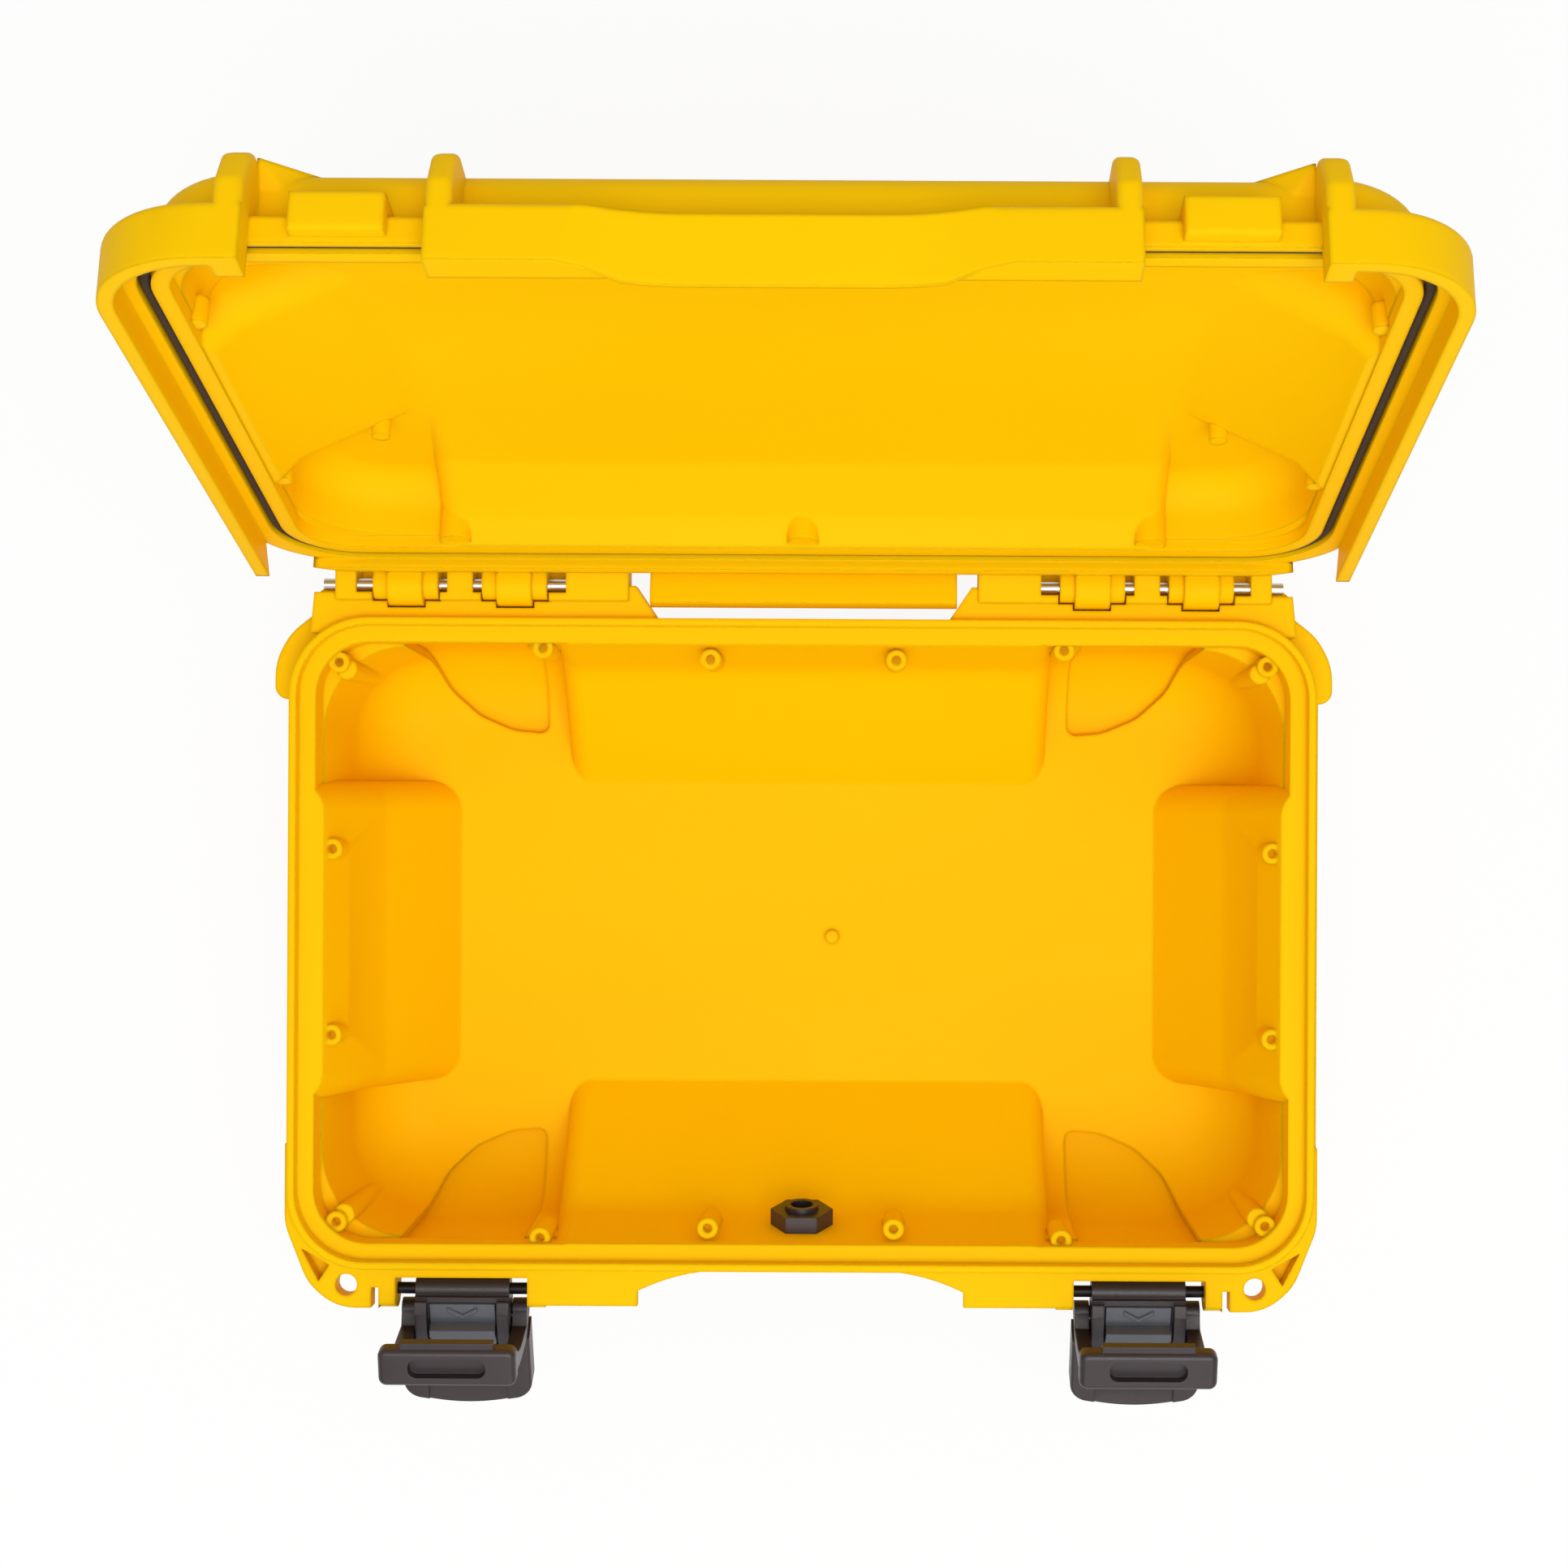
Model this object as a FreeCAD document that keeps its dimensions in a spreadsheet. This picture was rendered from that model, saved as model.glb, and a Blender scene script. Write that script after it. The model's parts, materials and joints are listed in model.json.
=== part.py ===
import FreeCAD, Part
import os
import re

import Sketcher
from FreeCAD import Rotation, Vector

# Protective hard case with its lid open and both latches open.
# The origin is the middle of the base's underside, +Z is up and the front is -Y.

SIZES = {
    # Base tub
    "inner_w": 290.0,
    "inner_d": 179.0,
    "rim_z": 80.0,
    "floor_z": 8.0,
    "floor_t": 3.2,
    "wall": 3.2,
    "draft": 3.0,
    "mouth_r": 16.0,
    "mouth_h": 14.0,
    "corner_r": 25.0,
    "bottom_r": 22.0,
    "foot_w": 40.0,
    "foot_d": 30.0,
    "foot_in_x": 41.0,
    "foot_in_y": 28.5,
    "pad_r": 14.0,
    "nub_x": 8.1,
    "nub_y": 1.4,
    "pocket_deep": 3.2,
    "pocket_skin": 2.0,
    "pocket_side": 5.5,
    "pocket_w": 36.5,
    "pocket_d": 26.0,
    "pocket_corner_r": 3.0,
    # Rim: tongue outside, panel ledge inside it, belt below
    "ledge_w": 5.0,
    "ledge_drop": 4.0,
    "tongue_w": 2.3,
    "belt_out": 9.4,
    "belt_top": 11.0,
    "belt_low": 17.0,
    # Sloped panels that push into the tub
    "ramp_end": 69.0,
    "ramp_lip": 0.2,
    "ramp_push": 6.5,
    "ramp_drop": 36.0,
    "ramp_reach": 41.5,
    "ramp_skin": 4.3,
    "ramp_edge_r": 7.0,
    "ramp_bend_r": 20.0,
    "side_end": 41.5,
    "side_lip": 2.6,
    "side_push": 15.0,
    "side_drop": 40.0,
    "side_reach": 33.4,
    "side_edge_r": 9.0,
    # Panel screw bosses, each by its distance in from the mouth
    "corner_boss_in_x": 6.4,
    "corner_boss_in_y": 6.0,
    "outer_boss_off": 1.8,
    "outer_boss_in_y": 1.5,
    "inner_boss_x": 27.75,
    "inner_boss_in_y": 4.6,
    "side_boss_in_x": 4.7,
    "side_boss_y": 27.75,
    "boss_r": 3.1,
    "boss_hole_r": 1.4,
    "boss_drop": 6.0,
    "boss_len": 20.0,
    "boss_hole_deep": 7.0,
    "post_in": 2.0,
    "post_drop": 2.0,
    "post_len": 52.0,
    # Front shelf and padlock eyes, by their distance out from the mouth
    "shelf_out": 19.1,
    "shelf_drop": 8.0,
    "shelf_t": 4.0,
    "arch_side": 52.7,
    "arch_out": 8.2,
    "arch_step": 4.5,
    "arch_run": 13.0,
    "arch_r": 60.0,
    "eye_in_x": 9.1,
    "eye_out_y": 13.1,
    "eye_r": 3.25,
    "eye_t": 7.0,
    "eye_plate_r": 16.0,
    "bumper_r": 18.0,
    "bumper_end_r": 4.0,
    # Hinge
    "hinge_out": 17.1,
    "hinge_drop": 5.0,
    "knuckle_low": 8.5,
    "knuckle_top": 2.8,
    "knuckle_front": 4.6,
    "knuckle_rear": 4.5,
    "hinge_plate_top": 1.5,
    "lid_knuckle_r": 4.4,
    "leaf_tab_r": 6.3,
    "leaf_tab_w": 10.4,
    "hinge_pin_r": 1.8,
    "pin_gap": 0.05,
    "run_gap": 0.5,
    "hinge_edge": 5.9,
    "outer_knuckle_w": 6.2,
    "outer_gap": 5.2,
    "leaf_w": 19.2,
    "mid_gap": 2.6,
    "mid_knuckle_w": 7.6,
    "inner_gap": 2.9,
    "end_gap": 5.6,
    "pin_tail": 3.6,
    "pin_grip": 8.6,
    "lid_open": 106.5,
    # Lid
    "lid_out_side": 15.2,
    "lid_out_front": 17.5,
    "lid_out_rear": 11.5,
    "rear_lip_low": 3.0,
    "rear_lip_in": 8.2,
    "lid_gap": 0.3,
    "lid_flange": 7.0,
    "lid_top": 24.5,
    "lid_in": 21.5,
    "lid_corner_r": 29.0,
    "skirt_t": 4.0,
    "skirt_low": 7.6,
    "rib_top": 24.7,
    "outer_rib_t": 6.7,
    "inner_rib_t": 6.0,
    "rib_edge_r": 1.8,
    "bumper_out_x": 2.0,
    "bumper_out_y": 4.0,
    "bumper_top": 22.0,
    "bumper_edge_r": 6.0,
    "bumper_deep": 26.0,
    "groove_deep": 4.0,
    "gasket_w": 3.2,
    "gasket_h": 3.7,
    "lid_draft": 5.0,
    "lid_edge_r": 8.0,
    "tab_gap": 16.4,
    "scoop_wall": 9.9,
    "scoop_low": 2.2,
    "scoop_side": 4.0,
    "scoop_run": 15.8,
    "scoop_r": 60.0,
    "lip_gap": 0.3,
    "lip_run": 12.0,
    # Latches
    "latch_side": 43.5,
    "latch_out": 15.0,
    "latch_drop": 14.0,
    "latch_recess_out": 10.9,
    "ear_gap": 39.5,
    "ear_t": 5.0,
    "ear_r": 5.6,
    "lever_open": 65.0,
    "claw_lean": 15.2,
    "over_centre": 1.0,
    "claw_below": 8.0,
    "claw_len": 36.8,
    "lever_len": 40.0,
    "lever_w": 39.0,
    "lever_top": 12.0,
    "lever_sag": 3.5,
    "cheek_w": 3.6,
    "cheek_out": 8.2,
    "neck_w": 28.2,
    "latch_pin_r": 1.75,
    "bar_w": 40.0,
    "bar_d": 11.5,
    "bar_h": 6.0,
    "claw_arm_in": 14.5,
    "claw_arm_t": 4.4,
    "barrel_r": 3.7,
    "slide_w": 19.6,
    "slide_gap": 0.25,
    "slide_top": 2.2,
    "slide_low": 15.5,
    "slide_travel": 3.0,
    "rib_room": 0.6,
    "lug_w": 22.0,
    "lug_out": 13.9,
    "lug_low": 2.0,
    "lug_top": 11.5,
    # Handle
    "handle_out": 7.0,
    "handle_drop": 22.0,
    "handle_len": 34.0,
    "handle_side": 37.5,
    "arm_t": 6.0,
    "handle_pin_r": 2.0,
    "handle_lug_t": 5.0,
    "handle_eye_r": 5.0,
    "grip_end": 14.0,
    "grip_r": 8.0,
    "core_r": 4.0,
    # Valve
    "valve_drop": 21.0,
    "nut_flat": 16.4,
    "nut_t": 5.0,
    "stem_r": 5.0,
    "stem_bore_r": 3.4,
    "seal_t": 1.2,
    "head_r": 10.0,
    "head_t": 4.0,
}

# Sizes that follow from the ones above
DERIVED = {
    "half_w": "inner_w / 2",
    "half_d": "inner_d / 2",
    "foot_x": "half_w - foot_in_x",
    "foot_y": "half_d - foot_in_y",
    "ramp_half": "half_w - ramp_end",
    "ramp_bend": "half_d - ramp_push",
    "ramp_foot": "half_d - ramp_reach",
    "side_half": "half_d - side_end",
    "side_top": "half_w - side_lip",
    "side_bend": "half_w - side_push",
    "side_foot": "half_w - side_reach",
    "corner_boss_x": "half_w - corner_boss_in_x",
    "corner_boss_y": "half_d - corner_boss_in_y",
    "outer_boss_x": "ramp_half + outer_boss_off",
    "outer_boss_y": "half_d - outer_boss_in_y",
    "inner_boss_y": "half_d - inner_boss_in_y",
    "side_boss_x": "half_w - side_boss_in_x",
    "shelf_front": "half_d + shelf_out",
    "arch_half": "latch_x - arch_side",
    "arch_deep": "half_d + arch_out",
    "eye_x": "half_w - eye_in_x",
    "eye_y": "half_d + eye_out_y",
    "hinge_y": "half_d + hinge_out",
    "outer_knuckle_far": "half_w - hinge_edge",
    "outer_knuckle_near": "outer_knuckle_far - outer_knuckle_w",
    "outer_leaf_far": "outer_knuckle_near - outer_gap",
    "outer_leaf_near": "outer_leaf_far - leaf_w",
    "mid_knuckle_far": "outer_leaf_near - mid_gap",
    "mid_knuckle_near": "mid_knuckle_far - mid_knuckle_w",
    "inner_leaf_far": "mid_knuckle_near - inner_gap",
    "inner_leaf_near": "inner_leaf_far - leaf_w",
    "inner_knuckle_far": "inner_leaf_near - end_gap",
    "pin_out": "outer_knuckle_far + pin_tail",
    "pin_in": "inner_knuckle_far - pin_grip",
    "tab_half": "pin_in - tab_gap",
    "lid_out_x": "half_w + lid_out_side",
    "lid_front": "half_d + lid_out_front",
    "lid_rear": "half_d + lid_out_rear",
    "latch_x": "half_w - latch_side",
    "latch_y": "half_d + latch_out",
    "lug_front": "half_d + lug_out",
    "handle_y": "half_d + handle_out",
    "handle_half": "latch_x - handle_side",
    "grip_half": "handle_half - grip_end",
}

doc = FreeCAD.newDocument("hard_case")
sheet = doc.addObject("Spreadsheet::Sheet", "dims")
for row, (alias, value) in enumerate(SIZES.items(), 1):
    sheet.set("A%d" % row, alias)
    sheet.set("B%d" % row, str(value))
    sheet.setAlias("B%d" % row, alias)
doc.recompute()


def linked(text):
    """Turns a formula on size names into one on the sheet's cells."""
    def cell(found):
        word = found[0]
        if word in DERIVED:
            return "(%s)" % linked(DERIVED[word])
        return "dims." + word if word in SIZES else word
    return re.sub(r"[a-z_]+", cell, str(text))


def number(text):
    """Value of a formula on size names."""
    return float(sheet.evalExpression(linked(text)))


def bind(item, **formulas):
    """Ties properties of an object to formulas."""
    for prop, text in formulas.items():
        item.setExpression(prop.replace("__", "."), linked(text))
    return item


def put(item, x="0", y="0", z="0"):
    """Ties the position of an object to formulas."""
    return bind(item, Placement__Base__x=x, Placement__Base__y=y, Placement__Base__z=z)


def less(low, high):
    return "(%s) - (%s)" % (high, low)


def neg(text):
    return "-(%s)" % text


def box(name, x0, x1, y0, y1, z0, z1):
    item = doc.addObject("Part::Box", name)
    bind(item, Length=less(x0, x1), Width=less(y0, y1), Height=less(z0, z1))
    return put(item, x0, y0, z0)


AXIS_TURN = {
    "x": Rotation(Vector(0, 1, 0), 90),
    "y": Rotation(Vector(1, 0, 0), -90),
    "z": Rotation(),
}


def rod(name, axis, radius, length, x, y, z):
    """Cylinder that starts at x, y, z and runs along +axis."""
    item = doc.addObject("Part::Cylinder", name)
    item.Placement.Rotation = AXIS_TURN[axis]
    bind(item, Radius=radius, Height=length)
    return put(item, x, y, z)


# Sketch planes: the sketch's x, y and normal as case directions, and the run direction.
PLANES = {
    "xy": (Vector(1, 0, 0), Vector(0, 1, 0), Vector(0, 0, 1), "z"),
    "yz": (Vector(0, 1, 0), Vector(0, 0, 1), Vector(1, 0, 0), "x"),
    "xz": (Vector(1, 0, 0), Vector(0, 0, 1), Vector(0, -1, 0), "y"),
}


def prism(name, plane, points, low, high):
    """Solid with a polygon outline, run from low to high across its plane."""
    across, up, normal, run = PLANES[plane]
    sketch = doc.addObject("Sketcher::SketchObject", name + "_outline")
    sketch.Placement.Rotation = Rotation(across, up, normal, "XYZ")
    corners = [Vector(number(a), number(b), 0) for a, b in points]
    for index, corner in enumerate(corners):
        sketch.addGeometry(Part.LineSegment(corner, corners[(index + 1) % len(corners)]))
    for index, (a, b) in enumerate(points):
        sketch.addConstraint(Sketcher.Constraint("Coincident", index, 2, (index + 1) % len(points), 1))
        for kind, text, value in (("DistanceX", a, corners[index].x), ("DistanceY", b, corners[index].y)):
            mark = sketch.addConstraint(Sketcher.Constraint(kind, -1, 1, index, 1, value))
            sketch.setExpression("Constraints[%d]" % mark, linked(text))
    sketch.setExpression("Placement.Base." + run, linked(low))
    item = doc.addObject("Part::Extrusion", name)
    item.Base = sketch
    item.DirMode = "Custom"
    item.Dir = {"x": Vector(1, 0, 0), "y": Vector(0, 1, 0), "z": Vector(0, 0, 1)}[run]
    item.Solid = True
    return bind(item, LengthFwd=less(low, high))


def combine(kind, name, items):
    item = doc.addObject(kind, name)
    item.Shapes = items
    return item


def fuse(name, *items):
    return combine("Part::MultiFuse", name, list(items))


def cut(name, body, *tools):
    item = doc.addObject("Part::Cut", name)
    item.Base = body
    item.Tool = tools[0] if len(tools) == 1 else fuse(name + "_tools", *tools)
    return item


def mirrored(name, source, normal):
    item = doc.addObject("Part::Mirroring", name)
    item.Source = source
    item.Normal = normal
    return item


def pair(name, source):
    """The object and its mirror image on the other side of the case."""
    return [source, mirrored(name + "_right", source, Vector(1, 0, 0))]


def along(edge, direction, share=0.8):
    """True for an edge that runs mostly along a direction."""
    ends = edge.valueAt(edge.LastParameter) - edge.valueAt(edge.FirstParameter)
    return ends.Length > 1e-6 and abs(ends.dot(direction)) > share * ends.Length


def rounded(name, base, radius, wanted):
    """Rounds the edges that the test picks."""
    doc.recompute()
    size = number(radius)
    item = doc.addObject("Part::Fillet", name)
    item.Base = base
    item.Edges = [(i, size, size) for i, edge in enumerate(base.Shape.Edges, 1) if wanted(edge)]
    return item


UP = Vector(0, 0, 1)
ACROSS = Vector(1, 0, 0)
DEEP = Vector(0, 1, 0)


def slab(name, half_w, front, rear, radius, z0, z1):
    """Rectangular block with rounded upright corners."""
    block = box(name + "_block", neg(half_w), half_w, front, rear, z0, z1)
    return rounded(name, block, radius, lambda e: along(e, UP))


def tub(name, half_w, half_d, wide_z, narrow_z, corner, edge_r, slope="draft"):
    """Drafted block, widest at wide_z, with rounded corners and a rounded narrow end."""
    inset = "abs((%s) - (%s)) * tan(%s * 1deg)" % (wide_z, narrow_z, slope)
    block = doc.addObject("Part::Wedge", name + "_block")
    block.Placement.Rotation = Rotation(Vector(1, 0, 0), 90)
    opens_up = number(wide_z) > number(narrow_z)
    low, high = (narrow_z, wide_z) if opens_up else (wide_z, narrow_z)
    small = ["(%s) - %s" % (size, inset) for size in (half_w, half_d)]
    first, second = (small, [half_w, half_d]) if opens_up else ([half_w, half_d], small)
    bind(block, Xmin=neg(first[0]), Xmax=first[0], Zmin=neg(first[1]), Zmax=first[1], Ymin=low, Ymax=high)
    bind(block, X2min=neg(second[0]), X2max=second[0], Z2min=neg(second[1]), Z2max=second[1])
    corners = rounded(name + "_corners", block, corner, lambda e: along(e, UP))
    level = number(narrow_z)
    return rounded(name, corners, edge_r, lambda e: all(abs(v.Z - level) < 1e-4 for v in e.Vertexes))


# Levels and faces that several pieces share
HINGE_Z = "rim_z - hinge_drop"
SHELF_TOP = "rim_z - shelf_drop"
SHELF_LOW = "rim_z - shelf_drop - shelf_t"
TUB_LOW = "floor_z - floor_t"
LATCH_Z = "rim_z - latch_drop"
HALF_W = "half_w"
HALF_D = "half_d"
RIM_OUT = "ledge_w + tongue_w"
FAR = "(half_w + half_d)"


def plus(first, second):
    return "(%s) + (%s)" % (first, second)


def ring_slab(name, grow, z0, z1):
    """Rounded block that follows the mouth of the tub at a distance."""
    depth = plus(HALF_D, grow)
    return slab(name, plus(HALF_W, grow), neg(depth), depth, plus("mouth_r", grow), z0, z1)


def common(name, *items):
    return combine("Part::MultiCommon", name, list(items))


def sloped_panel(name, plane, edge, half, bend, drop, foot, cut_drop, edge_r, within):
    """Panel pushed into the tub: the bulge inside and the recess behind it."""
    fall = "(%s - ledge_drop)" % drop
    lean = "(%s - %s) / %s" % (edge, bend, fall)
    toe = "(%s - %s) / (rim_z - %s - floor_z)" % (bend, foot, drop)
    back = "-(%s + 8)" % edge
    ledge = "rim_z - ledge_drop"
    bend_z = "rim_z - %s" % drop
    inner = [(back, ledge), (neg(edge), ledge), (neg(bend), bend_z), (neg(foot), "floor_z"),
             (back, "floor_z")]
    raw = prism(name + "_raw", plane, inner, neg(half), half)
    run = ACROSS if plane == "yz" else DEEP
    level = number(bend_z)
    soft = rounded(name + "_soft", raw, "ramp_bend_r",
                   lambda e: all(abs(v.Z - level) < 1e-4 for v in e.Vertexes))
    back_at = number(back)
    depth_axis = DEEP if plane == "yz" else ACROSS
    ends = rounded(name + "_ends", soft, edge_r, lambda e: not along(e, run, 0.5)
                   and e.CenterOfMass.dot(depth_axis) > back_at + 1
                   and e.BoundBox.ZLength > 1)
    bulge = common(name + "_bulge", ends, within)
    under = "(%s - 1)" % TUB_LOW
    top_z = "rim_z - %s" % cut_drop
    top_at = "-(%s - (%s - ledge_drop) * %s + ramp_skin)" % (edge, cut_drop, lean)
    toe_at = "-(%s + ramp_skin - (floor_t + 1) * %s)" % (foot, toe)
    outer = [(neg(FAR), top_z), (top_at, top_z), ("-(%s + ramp_skin)" % bend, bend_z), (toe_at, under),
             (neg(FAR), under)]
    recess = prism(name + "_recess", plane, outer, "-(%s - wall)" % half, "%s - wall" % half)
    return bulge, recess


def quarters(name, source):
    """The object in all four quarters of the case."""
    right = mirrored(name + "_right", source, Vector(1, 0, 0))
    row = fuse(name + "_row", source, right)
    return [row, mirrored(name + "_rear", row, Vector(0, 1, 0))]


BOSS_SPOTS = [(kind + "_boss_x", kind + "_boss_y") for kind in ("corner", "outer", "inner", "side")]


def panel_bosses():
    """Screw bosses for a panel: one quarter of them, then its mirror images."""
    low = "rim_z - boss_drop - boss_len"
    posts = [rod("boss", "z", "boss_r", "boss_len", neg(x), neg(y), low) for x, y in BOSS_SPOTS]
    posts.append(rod("corner_post", "z", "boss_r", "post_len", "-corner_boss_x + post_in",
                     "-corner_boss_y + post_in", "rim_z - boss_drop - post_drop - post_len"))
    hole_low = "rim_z - boss_drop - boss_hole_deep"
    holes = [rod("boss_hole", "z", "boss_hole_r", "boss_len", neg(x), neg(y), hole_low)
             for x, y in BOSS_SPOTS]
    solids = quarters("bosses", fuse("boss_quarter", *posts))
    return solids, quarters("boss_holes", fuse("hole_quarter", *holes))


def latch_ears():
    """Two ears that hold the pin of the left lever."""
    front = neg("latch_y")
    root = "-(%s + 4)" % HALF_D
    parts = []
    for far, near in (("ear_gap / 2 + ear_t", "ear_gap / 2"), ("-ear_gap / 2", "-ear_gap / 2 - ear_t")):
        low = "-latch_x - (%s)" % far
        high = "-latch_x - (%s)" % near
        parts.append(box("ear_plate", low, high, front, root, LATCH_Z + " - ear_r", LATCH_Z + " + ear_r"))
        parts.append(rod("ear_end", "x", "ear_r", "ear_t", low, front, LATCH_Z))
    hole = rod("ear_hole", "x", "latch_pin_r + pin_gap", "ear_gap + 2 * ear_t + 2",
               "-latch_x - ear_gap / 2 - ear_t - 1", front, LATCH_Z)
    return fuse("ears", *parts), hole


def padlock_corner():
    """Front left corner plate with the padlock eye and the open pocket beside it."""
    low = SHELF_TOP + " - eye_t"
    side = "-half_w - belt_out"
    outline = [(side, "-half_d + 29"), (side, "-half_d + 5"), ("-half_w - 2.5", "-half_d - 12.5"),
               ("-half_w + 6", "-half_d - 20"), ("-half_w + 19", "-half_d - 20"),
               ("-half_w + 19", "-half_d + 1"), ("-half_w + 5", "-half_d + 29")]
    plate = prism("eye_plate", "xy", outline, low, SHELF_TOP)
    left = number("-half_w + 7")
    front = number("-half_d + 9")
    soft = rounded("eye_plate_soft", plate, "eye_plate_r", lambda e: along(e, UP) and e.CenterOfMass.x < left
                   and e.CenterOfMass.y < front)
    pocket_line = [("-half_w - 4.4", "-half_d - 2.3"), ("-half_w + 4", "-half_d - 7.2"),
                   ("-half_w + 0.8", "-half_d - 12.1")]
    pocket = prism("eye_pocket", "xy", pocket_line, low + " + 1.5", "rim_z")
    eye = rod("eye", "z", "eye_r", "30", neg("eye_x"), neg("eye_y"), SHELF_LOW + " - 15")
    slit = box("eye_slit", "-latch_x - ear_gap / 2 - ear_t - 2.2", "-latch_x - ear_gap / 2 - ear_t",
               "-half_d - 25", "-half_d - 13.9", SHELF_LOW + " - 15", "rim_z")
    return soft, [pocket, eye, slit]


def base_hinge():
    """Left hinge flange of the base with its knuckles and windows."""
    root = "half_d + wall - 0.5"
    outline = [("-half_w - 1.7", root), ("-half_w - 0.5", "hinge_y - 1.8"), ("-half_w + 1.6", "hinge_y"),
               ("-pin_in + 12", "hinge_y"), ("-pin_in + 18.3", "hinge_y - 9.3"), ("-pin_in + 18.3", root)]
    under = HINGE_Z + " - knuckle_low"
    plate = prism("hinge_plate", "xy", outline, under, HINGE_Z + " + hinge_plate_top")
    barrel = box("hinge_barrel", neg("outer_knuckle_far"), "-pin_in + 10", "hinge_y - knuckle_front",
                 "hinge_y + knuckle_rear", under, HINGE_Z + " + knuckle_top")
    low = HINGE_Z + " - leaf_tab_r - run_gap"
    high = HINGE_Z + " + knuckle_top + 1"
    pin_front = "hinge_y - hinge_pin_r - run_gap"
    leaf_front = "hinge_y - lid_knuckle_r - run_gap"
    tab_front = "hinge_y - leaf_tab_r - run_gap"
    spans = [("lid_out_x", "outer_knuckle_far", pin_front),
             ("outer_knuckle_near", "mid_knuckle_far", pin_front),
             ("mid_knuckle_near", "inner_knuckle_far", pin_front)]
    for leaf in ("outer_leaf", "inner_leaf"):
        spans.append((leaf + "_far + run_gap", leaf + "_near - run_gap", leaf_front))
        middle = "(%s_far + %s_near) / 2" % (leaf, leaf)
        half_tab = "(leaf_tab_w / 2 + run_gap)"
        spans.append((plus(middle, half_tab), less(half_tab, middle), tab_front))
    windows = [box("hinge_window", neg(far), neg(near), front, FAR, low, high) for far, near, front in spans]
    bore = rod("hinge_bore", "x", "hinge_pin_r + pin_gap", "pin_out - pin_in + 1", "-pin_out - 0.7",
               "hinge_y", HINGE_Z)
    return fuse("hinge_flange", plate, barrel), windows + [bore]


VALVE_LEAN = "((inner_d / 2 - ramp_lip - ramp_bend) / (ramp_drop - ledge_drop))"
VALVE_Y = "-(inner_d / 2 - ramp_lip - (valve_drop - ledge_drop) * %s)" % VALVE_LEAN
VALVE_Z = "rim_z - valve_drop"


def on_valve(item, depth="0"):
    """Sets an object on the valve's axis, which stands square to the sloped front panel."""
    item.Placement.Rotation = Rotation(Vector(-1, 0, 0), 90)
    bind(item, Placement__Rotation__Angle="90deg - atan(%s)" % VALVE_LEAN)
    cosine = "cos(atan(%s))" % VALVE_LEAN
    sine = "sin(atan(%s))" % VALVE_LEAN
    y = "%s + (%s) * %s" % (VALVE_Y, depth, cosine)
    z = "%s + (%s) * %s" % (VALVE_Z, depth, sine)
    return put(item, "0", y, z)


HANDLE_Y = "-handle_y"
HANDLE_Z = "rim_z - handle_drop"


def handle_lug():
    """Left lug under the front shelf that carries a handle pin."""
    low = "-handle_half - run_gap - handle_lug_t"
    high = "-handle_half - run_gap"
    plate = box("handle_lug_plate", low, high, HANDLE_Y + " - handle_eye_r", HANDLE_Y + " + handle_eye_r",
                HANDLE_Z, SHELF_LOW + " + 1")
    end = rod("handle_lug_end", "x", "handle_eye_r", "handle_lug_t", low, HANDLE_Y, HANDLE_Z)
    hole = rod("handle_lug_hole", "x", "handle_pin_r + pin_gap", "handle_lug_t + 2", low + " - 1",
               HANDLE_Y, HANDLE_Z)
    return cut("handle_lug", fuse("handle_lug_solid", plate, end), hole)


def pocket_block(name, margin, top):
    """Upright block with a quarter-round outline beside the front panel, grown by a margin."""
    right = "-outer_boss_x - pocket_side + %s" % margin
    left = "-outer_boss_x - pocket_side - %s" % margin
    wall_y = "-half_d - 10"
    deep = "(pocket_d + %s)" % margin
    line = [(right, wall_y), (right, "-half_d + " + deep),
            (left + " - 11.5", "-half_d + %s * 0.96" % deep),
            (left + " - 22.5", "-half_d + %s * 0.78" % deep),
            (left + " - 31.5", "-half_d + %s * 0.46" % deep),
            (left + " - pocket_w - 5", wall_y)]
    raw = prism(name + "_raw", "xy", line, "0", top)
    bend = number(right + " - 5")
    near_wall = number("-half_d + 5")
    soft = rounded(name + "_soft", raw, "14", lambda e: along(e, UP) and e.CenterOfMass.x < bend
                   and e.CenterOfMass.y > near_wall)
    return rounded(name + "_smooth", soft, "pocket_corner_r", lambda e: along(e, UP)
                   and e.CenterOfMass.x > bend and e.CenterOfMass.y > near_wall)


def pocket_tub(name, depth):
    """Form of the tub, grown by a depth."""
    return tub(name, plus(HALF_W, depth), plus(HALF_D, depth), "rim_z", less(depth, "floor_z"),
               plus("corner_r", depth), plus("bottom_r", depth))


def corner_pockets():
    """Quarter-round pockets in the tub beside the front and rear panels, and the pads behind them."""
    hollow = common("pocket", pocket_block("pocket", "0", "rim_z - boss_drop - 8"),
                    pocket_tub("pocket_depth", "pocket_deep"))
    pad = common("pocket_pad", pocket_block("pocket_pad", "pocket_skin", "rim_z - belt_low + 1"),
                 pocket_tub("pocket_back", "pocket_deep + pocket_skin"))
    return quarters("pockets", hollow), quarters("pocket_pads", pad)


def arch_space(name, gap, low, high):
    """Space of the finger arch in the front shelf, drawn in by a gap."""
    edge = "(arch_half - %s)" % gap
    step = "-shelf_front + arch_step - " + gap
    deep = "-arch_deep - " + gap
    inner = "(arch_half - arch_run - %s / 2)" % gap
    line = [(neg(edge), neg(FAR)), (neg(edge), step), (neg(inner), deep), (inner, deep), (edge, step),
            (edge, neg(FAR))]
    bend = number("arch_half - arch_run / 2")
    raw = prism(name + "_raw", "xy", line, low, high)
    return rounded(name, raw, "arch_r", lambda e: along(e, UP) and abs(e.CenterOfMass.x) < bend)


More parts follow.
